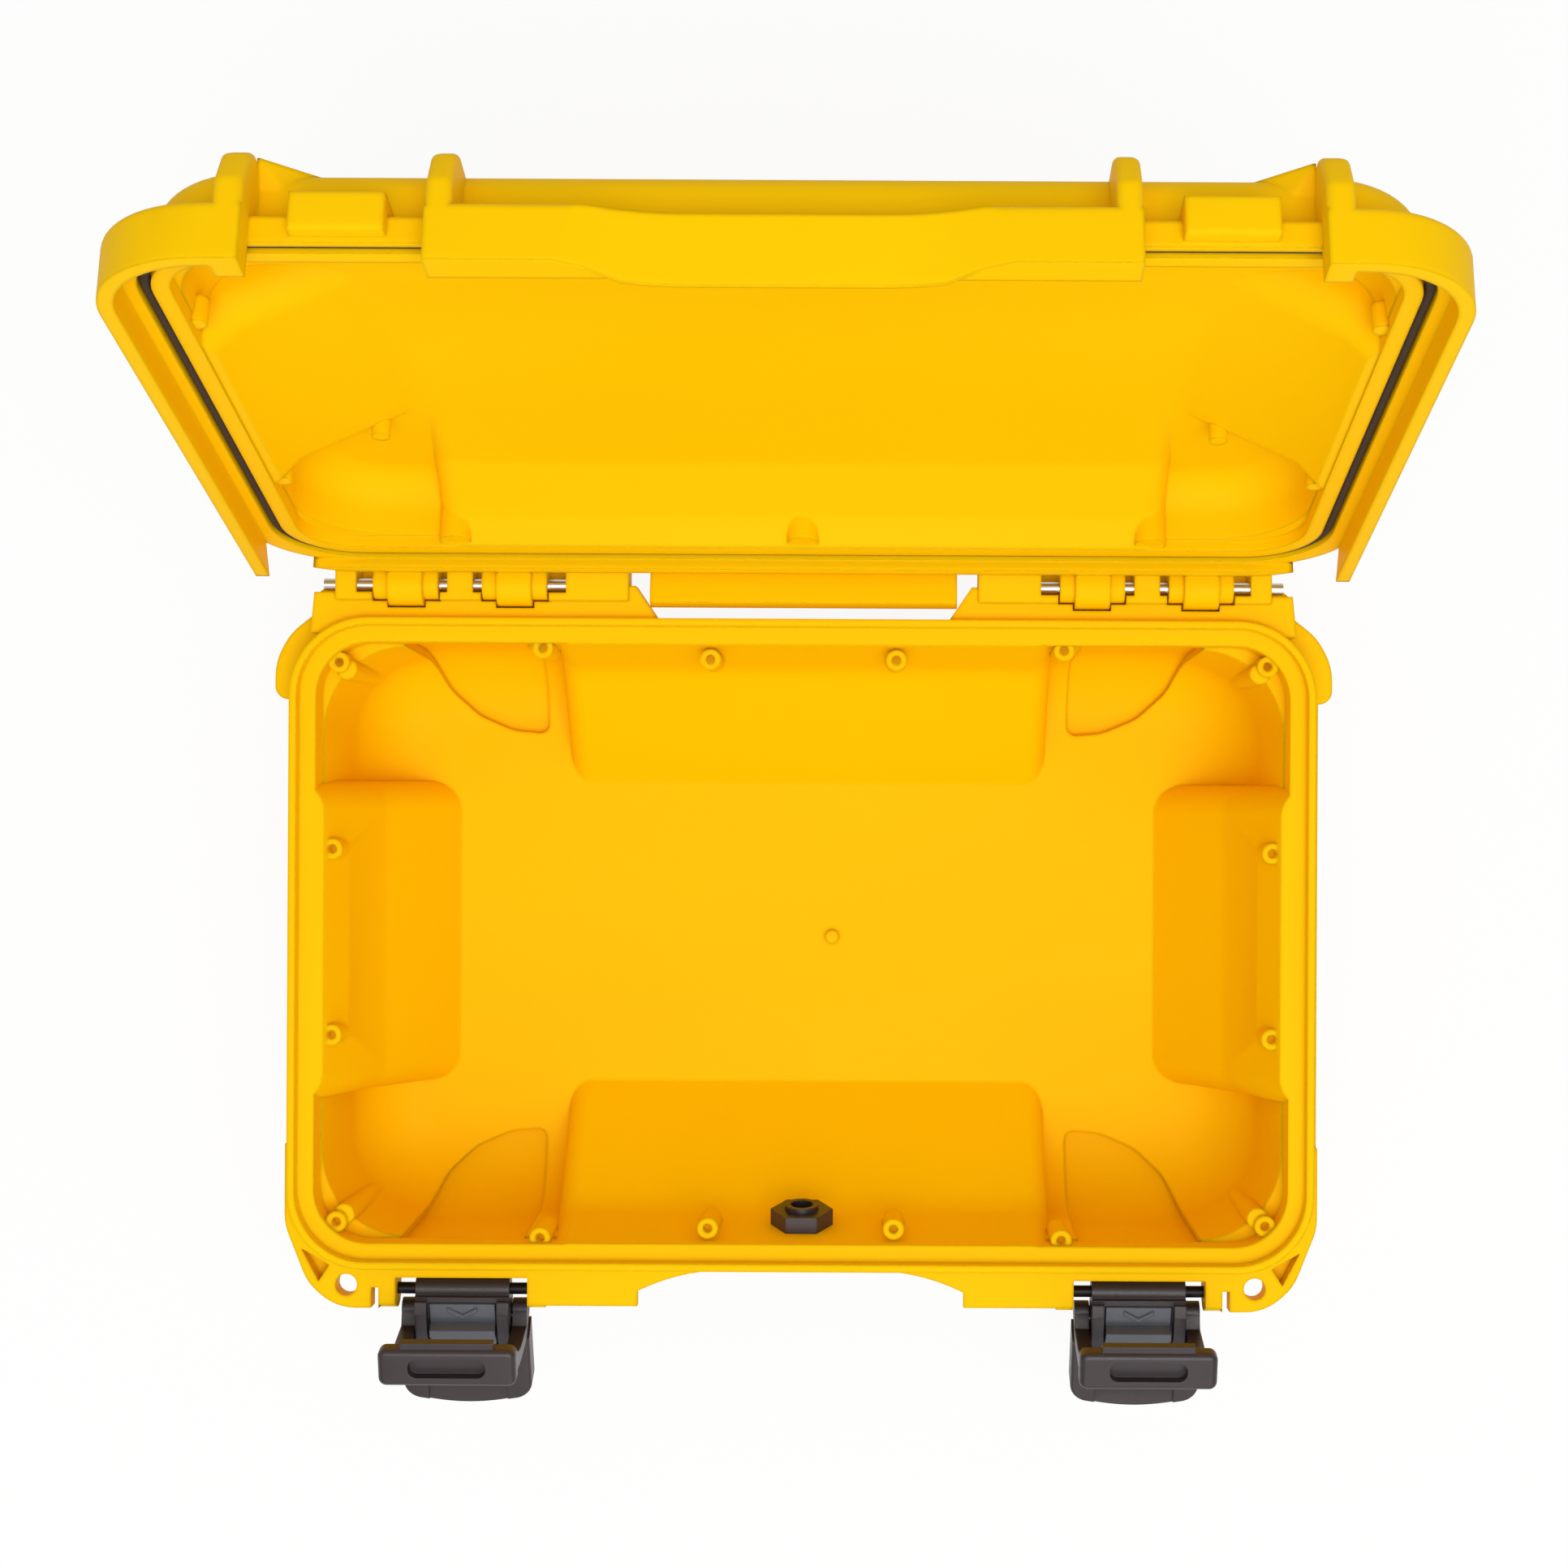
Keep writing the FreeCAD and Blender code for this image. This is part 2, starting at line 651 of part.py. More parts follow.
def corner_bumper():
    """Rounded bumper at the rear left corner of the base."""
    line = [("-half_w + 5", "half_d + 9.5"), ("-half_w - 2", "half_d + 8.5"), ("-half_w - 9", "half_d + 3"),
            ("-half_w - 13.6", "half_d - 5.5"), ("-half_w - 13.6", "half_d - 17"),
            ("-half_w - 1", "half_d - 17")]
    raw = prism("bumper_raw", "xy", line, "rim_z - 34", "rim_z - belt_top")
    side = number("-half_w - 5")
    front = number("half_d - 10")
    bent = rounded("bumper_bent", raw, "bumper_r", lambda e: along(e, UP) and e.CenterOfMass.x < side
                   and e.CenterOfMass.y > front)
    return rounded("bumper", bent, "bumper_end_r", lambda e: along(e, UP) and e.CenterOfMass.x < side
                   and e.CenterOfMass.y < front)


def base_shell():
    outer = tub("tub_outer", plus(HALF_W, "wall"), plus(HALF_D, "wall"), "rim_z", TUB_LOW,
                "corner_r + wall", "bottom_r + 2")
    block = ring_slab("rim_block", RIM_OUT, "rim_z - belt_low", "rim_z")
    belt_all = ring_slab("belt_all", "belt_out", "rim_z - belt_low", "rim_z - belt_top")
    rear_gap = box("belt_gap", "-tab_half - 0.4", "tab_half + 0.4", plus(HALF_D, RIM_OUT), FAR,
                   "rim_z - 30", "rim_z")
    belt = cut("belt", belt_all, rear_gap)
    cavity = tub("cavity", HALF_W, HALF_D, "rim_z", "floor_z", "corner_r", "bottom_r")
    mouth = ring_slab("mouth", "0", "rim_z - mouth_h", "rim_z + 1")
    ledge = ring_slab("ledge", "ledge_w", "rim_z - ledge_drop", "rim_z + 1")

    shelf_box = box("shelf_plate", "-half_w + 18", "half_w - 18", neg("shelf_front"), "-half_d - 2",
                    SHELF_LOW, SHELF_TOP)
    arch = arch_space("arch", "0", SHELF_LOW + " - 20", "rim_z - 3")
    ears, ear_hole = latch_ears()
    recess = box("latch_recess", "-latch_x - ear_gap / 2", "-latch_x + ear_gap / 2", neg(FAR),
                 "-half_d - latch_recess_out", SHELF_LOW + " - 20", "rim_z")
    eye, eye_cuts = padlock_corner()
    flange, hinge_cuts = base_hinge()
    bumper = corner_bumper()
    foot = slab("foot", "foot_w / 2", "-foot_d / 2", "foot_d / 2", "8", "0", TUB_LOW + " + 1.5")
    put(foot, neg("foot_x"), neg("foot_y"))

    front, front_cut = sloped_panel("front_panel", "yz", "(inner_d / 2 - ramp_lip)", "ramp_half", "ramp_bend",
                                    "ramp_drop", "ramp_foot", "(shelf_drop + shelf_t)", "ramp_edge_r", outer)
    side, side_cut = sloped_panel("side_panel", "xz", "side_top", "side_half", "side_bend",
                                  "side_drop", "side_foot", "belt_low", "side_edge_r", outer)
    rear = mirrored("rear_panel", front, Vector(0, 1, 0))
    rear_cut = common("rear_recess", mirrored("rear_recess_all", front_cut, Vector(0, 1, 0)),
                      box("rear_limit", neg(FAR), FAR, neg(FAR), FAR, "-20", "rim_z - belt_low"))
    posts, holes = panel_bosses()

    left = [ears, eye, flange, bumper]
    outside = [item for part in left for item in pair(part.Name, part)]
    pad = rod("centre_pad", "z", "pad_r", TUB_LOW + " + 1", "0", "0", "0")
    nub = rod("gate_nub", "z", "2.2", "floor_t + 1", "nub_x", "-nub_y", TUB_LOW + " + 1")
    pockets, pocket_pads = corner_pockets()
    solid = fuse("base_solid", outer, block, belt, shelf_box, pad, *outside, *pocket_pads,
                 *quarters("feet", foot))
    hollow = cut("base_hollow", solid, cavity, mouth, ledge)
    inside = fuse("base_inside", hollow, front, rear, nub, *pair("side_panel", side), *posts)
    valve_hole = on_valve(rod("valve_hole", "z", "stem_r + pin_gap", "24", "0", "0", "0"), "-12")
    left_cuts = [ear_hole, recess] + eye_cuts + hinge_cuts
    cuts = [item for part in left_cuts for item in pair(part.Name, part)]
    cuts += pair("side_cut", side_cut) + holes + pockets
    carved = cut("base_carved", inside, arch, front_cut, rear_cut, valve_hole, *cuts)
    return fuse("base_shell", carved, *pair("handle_lug", handle_lug()))


PART_Z = "rim_z + lid_gap"
FLANGE_TOP = "rim_z + lid_flange"
SKIRT_LOW = "rim_z - skirt_low"
GASKET_IN = "(ledge_w + tongue_w / 2 - gasket_w / 2)"
GASKET_OUT = "(ledge_w + tongue_w / 2 + gasket_w / 2)"


def swing_open(item):
    """Turns a piece of the closed lid back about the hinge axis."""
    item.Placement.Rotation = Rotation(Vector(-1, 0, 0), 90)
    bind(item, Placement__Rotation__Angle="lid_open")
    cosine = "cos(lid_open * 1deg)"
    sine = "sin(lid_open * 1deg)"
    axis_z = "(%s)" % HINGE_Z
    return put(item, "0", "hinge_y - hinge_y * %s - %s * %s" % (cosine, axis_z, sine),
               "%s + hinge_y * %s - %s * %s" % (axis_z, sine, axis_z, cosine))


def lid_rib(name, far, near):
    """Upright rib on the front of the lid beside a latch."""
    top = "rim_z + rib_top"
    outline = [("-half_d - 8.3", SKIRT_LOW), (neg("lid_front"), SKIRT_LOW), (neg("lid_front"), top + " - 12"),
               ("-half_d - 12.5", top + " - 3.3"), ("-half_d - 7", top), ("-half_d + 5.5", top),
               ("-half_d + 17.5", "rim_z + lid_top - 0.5"), ("-half_d + 17.5", "rim_z + lid_in + 1"),
               ("-half_d + 1", "rim_z + 16"), ("-half_d - 1.5", "rim_z + 4"), ("-half_d - 8.3", "rim_z + 1")]
    rib = prism(name, "yz", outline, neg(far), neg(near))
    low = number("rim_z + 10")
    front = number("-half_d - 3.5")
    bent = rounded(name + "_bent", rib, "2.5", lambda e: along(e, ACROSS) and e.CenterOfMass.z > low
                   and e.CenterOfMass.y < front)
    crest = number("rim_z + rib_top - 3")
    back = number("-half_d + 5")
    return rounded(name + "_soft", bent, "rib_edge_r", lambda e: e.BoundBox.XLength < 1e-4
                   and e.CenterOfMass.z > crest and e.CenterOfMass.y < back)


def lid_leaf(name, far, near):
    """Hinge leaf of the lid: a knuckle round the pin and the arm up to the lid."""
    low, high = neg(far), neg(near)
    knuckle = rod(name + "_knuckle", "x", "lid_knuckle_r", less(near, far), low, "hinge_y", HINGE_Z)
    tab_start = "-(%s + %s) / 2 - leaf_tab_w / 2" % (far, near)
    tab = rod(name + "_tab", "x", "leaf_tab_r", "leaf_tab_w", tab_start, "hinge_y", HINGE_Z)
    neck = box(name + "_neck", low, high, "hinge_y - lid_knuckle_r", "hinge_y + lid_knuckle_r",
               HINGE_Z, FLANGE_TOP)
    arm = box(name + "_arm", low, high, "lid_rear - 3", "hinge_y", PART_Z, FLANGE_TOP)
    return fuse(name, knuckle, tab, neck, arm)


def lid_inside(within):
    """Sloped panels, half-round stiffeners and nubs inside the lid."""
    ceiling = "rim_z + lid_in + 12"
    back = "-half_w - 5"
    side_line = [(back, "rim_z + 1"), ("-side_top", "rim_z + 1"), ("-half_w + 7.5", "rim_z + 7"),
                 ("-half_w + 37", "rim_z + lid_in"), ("-half_w + 37", ceiling), (back, ceiling)]
    side = prism("lid_side_raw", "xz", side_line, "-side_half + 1", "side_half - 1")
    inner = number("-half_w + 2")
    side_soft = rounded("lid_side_soft", side, "side_edge_r", lambda e: not along(e, DEEP, 0.5)
                        and e.CenterOfMass.x > inner and e.BoundBox.ZLength > 2)
    bend_low, bend_high = "rim_z + 8", "rim_z + lid_in - 4"
    rear_line = [("half_d + 5.5", "rim_z + 1"), ("half_d - 0.5", "rim_z + 1"), ("half_d - 5", bend_low),
                 ("half_d - 23.5", bend_high), ("half_d - 51.5", "rim_z + lid_in"),
                 ("half_d - 51.5", ceiling), ("half_d + 5.5", ceiling)]
    rear = prism("lid_rear_raw", "yz", rear_line, "-half_w + 39", "half_w - 39")
    levels = (number(bend_low), number(bend_high))
    rear_bent = rounded("lid_rear_bent", rear, "12", lambda e: along(e, ACROSS)
                        and min(abs(e.CenterOfMass.z - z) for z in levels) < 1e-3)
    wall_y = number("half_d + 2")
    deep_z = number("rim_z + lid_in + 2")
    rear_soft = rounded("lid_rear_soft", rear_bent, "ramp_edge_r", lambda e: e.BoundBox.XLength < 1e-4
                        and e.CenterOfMass.y < wall_y and e.CenterOfMass.z < deep_z)
    posts = [rod("lid_stiffener", "z", "4.5", "16", x, "half_d - 1.5", "rim_z + 1.5")
             for x in ("-latch_x", "0", "latch_x")]
    for x, y, z in (("half_w - 1", "-half_d + 36", "2"), ("half_w - 2", "half_d - 45", "2"),
                    ("half_w - 29", "half_d - 48.5", "14")):
        for side_x in (x, neg(x)):
            posts.append(rod("lid_nub", "z", "2.6", "7", side_x, y, "rim_z + " + z))
    bulges = fuse("lid_bulges", *pair("lid_side", side_soft), rear_soft, *posts)
    return common("lid_inside", bulges, within)


LATCH_BAY = "(bar_w / 2 + rib_room)"


def rear_lip():
    """Lip under the rear edge of the lid, in front of the hinge knuckles."""
    low = "rim_z - rear_lip_low"
    outline = slab("rear_lip_outline", "lid_out_x", neg("lid_front"), "lid_rear", "lid_corner_r", low,
                   "rim_z + 1")
    zone = box("rear_lip_zone", neg(HALF_W), HALF_W, "half_d + rear_lip_in", FAR, low, "rim_z + 1")
    return common("rear_lip", outline, zone)


def lid_bumper():
    """Rounded bumper round the front left corner of the lid, outside the outer rib."""
    block = slab("lid_bumper_block", "half_w + wall + bumper_out_x", "-(half_d + wall + bumper_out_y)",
                 HALF_D, "corner_r + wall", "rim_z + lid_flange - 2", "rim_z + bumper_top")
    level = number("rim_z + bumper_top")
    soft = rounded("lid_bumper_soft", block, "bumper_edge_r",
                   lambda e: all(abs(v.Z - level) < 1e-4 for v in e.Vertexes))
    zone = box("lid_bumper_zone", neg(FAR), "-latch_x - %s - 1" % LATCH_BAY, neg(FAR),
               "-half_d + bumper_deep", "rim_z", "rim_z + lid_top")
    return common("lid_bumper", soft, zone)


def lid_shell():
    outer = tub("lid_outer", plus(HALF_W, "wall"), plus(HALF_D, "wall"), PART_Z, "rim_z + lid_top",
                "corner_r + wall", "lid_edge_r", "lid_draft")
    cavity = tub("lid_cavity", HALF_W, HALF_D, "rim_z - 1", "rim_z + lid_in", "corner_r",
                 "lid_edge_r + 4", "lid_draft")
    mouth = ring_slab("lid_mouth", "0", "rim_z - 20", "rim_z + 4")
    flange = slab("lid_rim", "lid_out_x", neg("lid_front"), "lid_rear", "lid_corner_r", PART_Z, FLANGE_TOP)
    flange_z = number(FLANGE_TOP)
    flange_soft = rounded("lid_rim_soft", flange, "2", lambda e: abs(e.BoundBox.ZMin - flange_z) < 1e-4)
    skirt_out = slab("skirt_out", "lid_out_x", neg("lid_front"), "hinge_y + 30", "lid_corner_r", SKIRT_LOW,
                     "rim_z + 1")
    skirt_in = slab("skirt_in", "lid_out_x - skirt_t", "-lid_front + skirt_t", "hinge_y + 40",
                    "lid_corner_r - skirt_t", SKIRT_LOW + " - 1", "rim_z + 2")
    tooth = prism("skirt_end", "yz", [("half_d + 4.5", SKIRT_LOW + " - 1"), ("half_d - 5.5", "rim_z + 2"),
                                      (FAR, "rim_z + 2"), (FAR, SKIRT_LOW + " - 1")], neg(FAR), FAR)
    skirt = cut("skirt", skirt_out, skirt_in, tooth)
    gap = LATCH_BAY
    bay = "latch_x - %s - inner_rib_t + 1" % gap
    filler = box("scoop_back", neg(bay), bay, "-lid_front + 2", "-half_d - 8.3", SKIRT_LOW, "rim_z + 1")
    lip_low = SKIRT_LOW + " - scoop_low"
    lip_line = [("-arch_half", SKIRT_LOW + " + 1"), ("-arch_half + lip_run", lip_low),
                ("arch_half - lip_run", lip_low), ("arch_half", SKIRT_LOW + " + 1")]
    lip = common("scoop_lip", prism("lip_block", "xz", lip_line, neg("lid_front"), neg(HALF_D)),
                 arch_space("lip_space", "lip_gap", lip_low, SKIRT_LOW + " + 1"))
    scoop_edge = "(arch_half + scoop_side)"
    scoop_inner = "(arch_half + scoop_side - scoop_run)"
    scoop_back = "-half_d - scoop_wall"
    scoop_line = [(neg(scoop_edge), neg(FAR)), (neg(scoop_edge), neg("lid_front")),
                  (neg(scoop_inner), scoop_back), (scoop_inner, scoop_back),
                  (scoop_edge, neg("lid_front")), (scoop_edge, neg(FAR))]
    scoop_raw = prism("scoop_raw", "xy", scoop_line, lip_low, "rim_z + 20")
    scoop_raw.Dir = Vector(0, -0.14, 1)
    scoop_bend = number("arch_half - scoop_run / 2")
    scoop = rounded("scoop", scoop_raw, "scoop_r", lambda e: not along(e, ACROSS) and e.BoundBox.ZLength > 5
                    and abs(e.CenterOfMass.x) < scoop_bend)
    latch_zone = box("latch_zone", "-latch_x - " + gap, "-latch_x + " + gap, neg(FAR), "-half_d - 9.7",
                     "rim_z - 20", FLANGE_TOP + " + 1")
    lug_raw = box("lug_raw", "-latch_x - lug_w / 2", "-latch_x + lug_w / 2", neg("lug_front"),
                  "-half_d - 2.5", "rim_z + lug_low", "rim_z + lug_top")
    lug = rounded("lug", lug_raw, "1", lambda e: e.CenterOfMass.y < -number("lug_front") + 1e-3)
    inner_rib = lid_rib("inner_rib", "latch_x - " + gap, "latch_x - %s - inner_rib_t" % gap)
    outer_rib = lid_rib("outer_rib", "latch_x + %s + outer_rib_t" % gap, "latch_x + " + gap)
    rib_face = "-latch_x - " + gap
    web_line = [("-half_d - 5.5", "rim_z + rib_top - 0.6"), ("-half_d + 5", "rim_z + rib_top - 0.6"),
                ("-half_d + 5", "rim_z + lid_top - 4"), ("-half_d - 1", "rim_z + lid_top - 8")]
    web_all = prism("web_all", "yz", web_line, rib_face, "-latch_x - 4")
    web_face = prism("web_face", "xy", [(rib_face, "-half_d - 6"), ("-latch_x - 4", "-half_d + 6"),
                                        (rib_face, "-half_d + 6")], "rim_z", "rim_z + rib_top")
    web = common("rib_web", web_all, web_face)
    tab_low = box("tab_low", neg("tab_half"), "tab_half", "hinge_y - 2.5", "hinge_y + 2", HINGE_Z + " - 6",
                  FLANGE_TOP)
    tab_top = box("tab_top", neg("tab_half"), "tab_half", "lid_rear - 3", "hinge_y + 2", PART_Z, FLANGE_TOP)
    leaves = [lid_leaf("outer_leaf", "outer_leaf_far", "outer_leaf_near"),
              lid_leaf("inner_leaf", "inner_leaf_far", "inner_leaf_near")]
    groove_out = ring_slab("groove_out", GASKET_OUT + " + pin_gap", "rim_z - 1", "rim_z + groove_deep")
    groove_in = ring_slab("groove_in", GASKET_IN + " - pin_gap", "rim_z - 2", "rim_z + groove_deep + 1")
    groove = cut("groove", groove_out, groove_in)
    bore = rod("lid_bore", "x", "hinge_pin_r + 2 * pin_gap", "pin_out - pin_in", "-pin_out",
               "hinge_y", HINGE_Z)

    rim_all = fuse("lid_rim_all", flange_soft, skirt, filler, lip, rear_lip())
    shape = cut("lid_front_cut", rim_all, scoop, *pair("latch_zone", latch_zone))
    left = [lug, inner_rib, outer_rib, web, lid_bumper(), *leaves]
    extras = [item for part in left for item in pair(part.Name, part)]
    solid = fuse("lid_solid", shape, outer, tab_low, tab_top, *extras)
    hollow = cut("lid_hollow", solid, cavity, mouth)
    filled = fuse("lid_filled", hollow, lid_inside(outer))
    return swing_open(cut("lid_shell", filled, groove, *pair("lid_bore", bore)))


def lid_gasket():
    low = "rim_z + groove_deep - gasket_h"
    outer = ring_slab("gasket_out", GASKET_OUT, low, "rim_z + groove_deep")
    inner = ring_slab("gasket_in", GASKET_IN, low + " - 1", "rim_z + groove_deep + 1")
    ring = cut("gasket_ring", outer, inner)
    level = number(low)
    soft = rounded("lid_gasket", ring, "gasket_w * 0.35",
                   lambda e: all(abs(v.Z - level) < 1e-4 for v in e.Vertexes))
    return swing_open(soft)


def lever_frame(item, side):
    """Sets a piece that is drawn about the lever's pin, hanging down, at its open angle."""
    item.Placement.Rotation = Rotation(Vector(-1, 0, 0), 60)
    bind(item, Placement__Rotation__Angle="lever_open")
    return put(item, side + "latch_x", "-latch_y", LATCH_Z)


def claw_frame(item, side):
    """Sets a piece that is drawn about the claw's pin, standing up, at its open lean."""
    item.Placement.Rotation = Rotation(Vector(1, 0, 0), 10)
    bind(item, Placement__Rotation__Angle="claw_lean")
    cosine = "cos(lever_open * 1deg)"
    sine = "sin(lever_open * 1deg)"
    y = "-latch_y + over_centre * %s - claw_below * %s" % (cosine, sine)
    z = "%s - over_centre * %s - claw_below * %s" % (LATCH_Z, sine, cosine)
    return put(item, side + "latch_x", y, z)


LEVER_FRONT = "-5"
SLIDE_BACK = "-1.6"


def latch_lever(side_name, side):
    """Lever: barrel on its pin, neck between the claw's arms, wide thumb plate below."""
    name = side_name + "_latch_lever"
    barrel = rod(name + "_barrel", "x", "barrel_r", "neck_w", "-neck_w / 2", "0", "0")
    neck = box(name + "_neck", "-neck_w / 2", "neck_w / 2", LEVER_FRONT, "3.7", "-24", "0")
    half = "lever_w / 2"
    plate_line = [(neg(half), "-lever_top"), (neg(half), "-lever_len + lever_sag"), ("0", "-lever_len"),
                  (half, "-lever_len + lever_sag"), (half, "-lever_top")]
    plate = prism(name + "_plate", "xz", plate_line, LEVER_FRONT, "2.5")
    tip = number("-lever_len + 1")
    middle = number("-lever_len / 2")
    bowed = rounded(name + "_plate_bowed", plate, "60", lambda e: along(e, DEEP) and e.CenterOfMass.z < tip)
    edge_x = number(half) - 0.1
    soft = rounded(name + "_plate_soft", bowed, "6", lambda e: along(e, DEEP)
                   and tip < e.CenterOfMass.z < middle and abs(e.CenterOfMass.x) > edge_x)
    smooth = rounded(name + "_plate_smooth", soft, "1", lambda e: e.BoundBox.YLength < 1e-4
                     and e.CenterOfMass.y < -4.9 and e.CenterOfMass.z < middle)
    room_line = [("4", "-11.3"), ("-6", "-15.6"), ("-6", "0"), ("4", "0")]
    rooms = [prism(name + "_arm_room", "yz", room_line, low, high)
             for low, high in (("neck_w / 2", "lever_w"), ("-lever_w", "-neck_w / 2"))]
    plate_cut = cut(name + "_plate_cut", smooth, *rooms)
    cheek_line = [("-4", "-1"), ("-cheek_out + 2", "-1"), ("-cheek_out", "-4"), ("-cheek_out", "-12"),
                  ("-4", "-20")]
    cheek_spans = [("neck_w / 2 - cheek_w", "neck_w / 2"), ("-neck_w / 2", "cheek_w - neck_w / 2")]
    cheeks = [prism(name + "_cheek", "yz", cheek_line, low, high) for low, high in cheek_spans]
    slot = "(slide_w / 2 + slide_gap)"
    pocket = box(name + "_pocket", neg(slot), slot, "-9", SLIDE_BACK + " + slide_gap",
                 "-slide_low - slide_travel - slide_gap", "-slide_top + slide_gap")
    spring_hole = rod(name + "_spring_hole", "z", "1.6", "12", "0", "-3.2", "-slide_low - 11")
    pin_hole = rod(name + "_pin_hole", "x", "latch_pin_r + pin_gap", "60", "-30", "0", "0")
    claw_hole = rod(name + "_claw_hole", "x", "latch_pin_r + pin_gap", "60", "-30", "over_centre",
                    "-claw_below")
    scallop = rod(name + "_scallop", "x", "26", "24", "-12", "-29.8", "-lever_len + 4")
    solid = fuse(name + "_solid", barrel, neck, plate_cut, *cheeks)
    return lever_frame(cut(name, solid, pocket, spring_hole, pin_hole, claw_hole, scallop), side)


def slide_lock(side_name, side):
    """Grey slide in the lever's face with a raised arrow and a thumb ledge."""
    name = side_name + "_slide_lock"
    half = "slide_w / 2"
    body = box(name + "_body", neg(half), half, "-5.4", SLIDE_BACK, "-slide_low", "-slide_top")
    ledge_line = [("-5", "-slide_low"), ("-6.8", "-slide_low"), ("-6.8", "-slide_low + 3"),
                  ("-8.6", "-slide_low + 3.6"), ("-8.6", "-slide_low + 6"), ("-5", "-slide_low + 7.4")]
    ledge = prism(name + "_ledge", "yz", ledge_line, neg(half), half)
    arrow_line = [("-4.5", "-slide_top - 2.4"), ("0", "-slide_top - 5"), ("4.5", "-slide_top - 2.4"),
                  ("4.5", "-slide_top - 1"), ("0", "-slide_top - 3.6"), ("-4.5", "-slide_top - 1")]
    arrow = prism(name + "_arrow", "xz", arrow_line, "-5.9", "-5")
    return lever_frame(fuse(name, body, ledge, arrow), side)


def lock_spring(side_name, side):
    """Return spring behind the slide, at its pressed length."""
    name = side_name + "_lock_spring"
    outer = rod(name + "_outer", "z", "1.4", "7", "0", "-3.2", "-slide_low - 7.05")
    inner = rod(name + "_inner", "z", "0.9", "9", "0", "-3.2", "-slide_low - 8")
    return lever_frame(cut(name, outer, inner), side)


def latch_claw(side_name, side):
    """Claw: two arms that bow forward round the lever's pin, and the bar that hooks the lid."""
    name = side_name + "_latch_claw"
    foot_z = "claw_len - bar_h / 2"
    outline = [("-3", "-1.4"), ("-7.3", "4.5"), ("-7.3", "20"), ("-5.3", foot_z + " + 1"),
               ("3.6", foot_z + " + 1"), ("-2.6", "23"), ("-3.5", "18"), ("-3.5", "5"), ("2.6", "2")]
    arms = []
    arm_out = "(claw_arm_in + claw_arm_t)"
    for low, high in (("claw_arm_in", arm_out), (neg(arm_out), "-claw_arm_in")):
        arms.append(prism(name + "_arm", "yz", outline, low, high))
        arms.append(rod(name + "_ring", "x", "3.3", "claw_arm_t", low, "0", "0"))
    bar_top = "claw_len + bar_h / 2"
    block = box(name + "_block", "-bar_w / 2", "bar_w / 2", "-bar_d / 2", "bar_d / 2", foot_z, bar_top)
    ends = rounded(name + "_ends", block, "2.4", lambda e: along(e, UP))
    bar = rounded(name + "_bar", ends, "1.8", lambda e: e.BoundBox.ZLength < 1e-4)
    lip = box(name + "_lip", "-13.5", "13.5", "bar_d / 2 - 1", "bar_d / 2 + 1.8", "claw_len - 1",
              bar_top + " - 1.2")
    dip = box(name + "_dip", "-11.2", "11.2", "-2.9", "2.9", "claw_len", "claw_len + bar_h")
    dip_soft = rounded(name + "_dip_soft", dip, "2.5", lambda e: along(e, UP))
    hole = rod(name + "_hole", "x", "latch_pin_r + 2 * pin_gap", "60", "-30", "0", "0")
    return claw_frame(cut(name, fuse(name + "_solid", *arms, bar, lip), dip_soft, hole), side)


def lever_pin(side_name, side):
    span = "ear_gap + 2 * ear_t"
    return rod(side_name + "_lever_pin", "x", "latch_pin_r", span, "%slatch_x - (%s) / 2" % (side, span),
               "-latch_y", LATCH_Z)


def claw_pin(side_name, side):
    span = "2 * (claw_arm_in + claw_arm_t)"
    pin = rod(side_name + "_claw_pin", "x", "latch_pin_r", span, "0", "0", "0")
    claw_frame(pin, side)
    pin.setExpression("Placement.Rotation.Angle", None)
    pin.Placement.Rotation = AXIS_TURN["x"]
    return bind(pin, Placement__Base__x="%slatch_x - (%s) / 2" % (side, span))


def hinge_pin(side_name, start):
    return rod(side_name + "_hinge_pin", "x", "hinge_pin_r", "pin_out - pin_in", start, "hinge_y", HINGE_Z)


def handle_frame():
    """Handle frame, folded down: two arms with pin eyes and the bar inside the grip."""
    inner = "handle_half - arm_t"
    parts = [rod("handle_core", "x", "core_r", "2 * handle_half", neg("handle_half"), HANDLE_Y,
                 HANDLE_Z + " - handle_len")]
    for low, high in ((inner, "handle_half"), ("-handle_half", neg(inner))):
        arm = box("handle_arm", low, high, HANDLE_Y + " - handle_eye_r", HANDLE_Y + " + handle_eye_r",
                  HANDLE_Z + " - handle_len", HANDLE_Z)
        parts.append(arm)
        for z in (HANDLE_Z, HANDLE_Z + " - handle_len"):
            parts.append(rod("handle_eye", "x", "handle_eye_r", "arm_t", low, HANDLE_Y, z))
    hole = rod("handle_hole", "x", "handle_pin_r + 2 * pin_gap", "200", "-100", HANDLE_Y, HANDLE_Z)
    return cut("handle_frame", fuse("handle_solid", *parts), hole)


def handle_grip():
    """Soft grip moulded round the handle's bar."""
    z = HANDLE_Z + " - handle_len"
    block = box("grip_block", neg("grip_half"), "grip_half", HANDLE_Y + " - grip_r", HANDLE_Y + " + grip_r",
                z + " - grip_r", z + " + grip_r")
    soft = rounded("grip_soft", block, "grip_r * 0.7", lambda e: along(e, ACROSS))
    hole = rod("grip_hole", "x", "core_r + 0.02", "2 * grip_half + 2", "-grip_half - 1", HANDLE_Y, z)
    return cut("handle_grip", soft, hole)


def handle_pin(side_name, start):
    span = "arm_t + run_gap + handle_lug_t"
    return rod("handle_pin_" + side_name, "x", "handle_pin_r", span, start, HANDLE_Y, HANDLE_Z)


WALL_THICK = "ramp_skin * cos(atan(%s))" % VALVE_LEAN


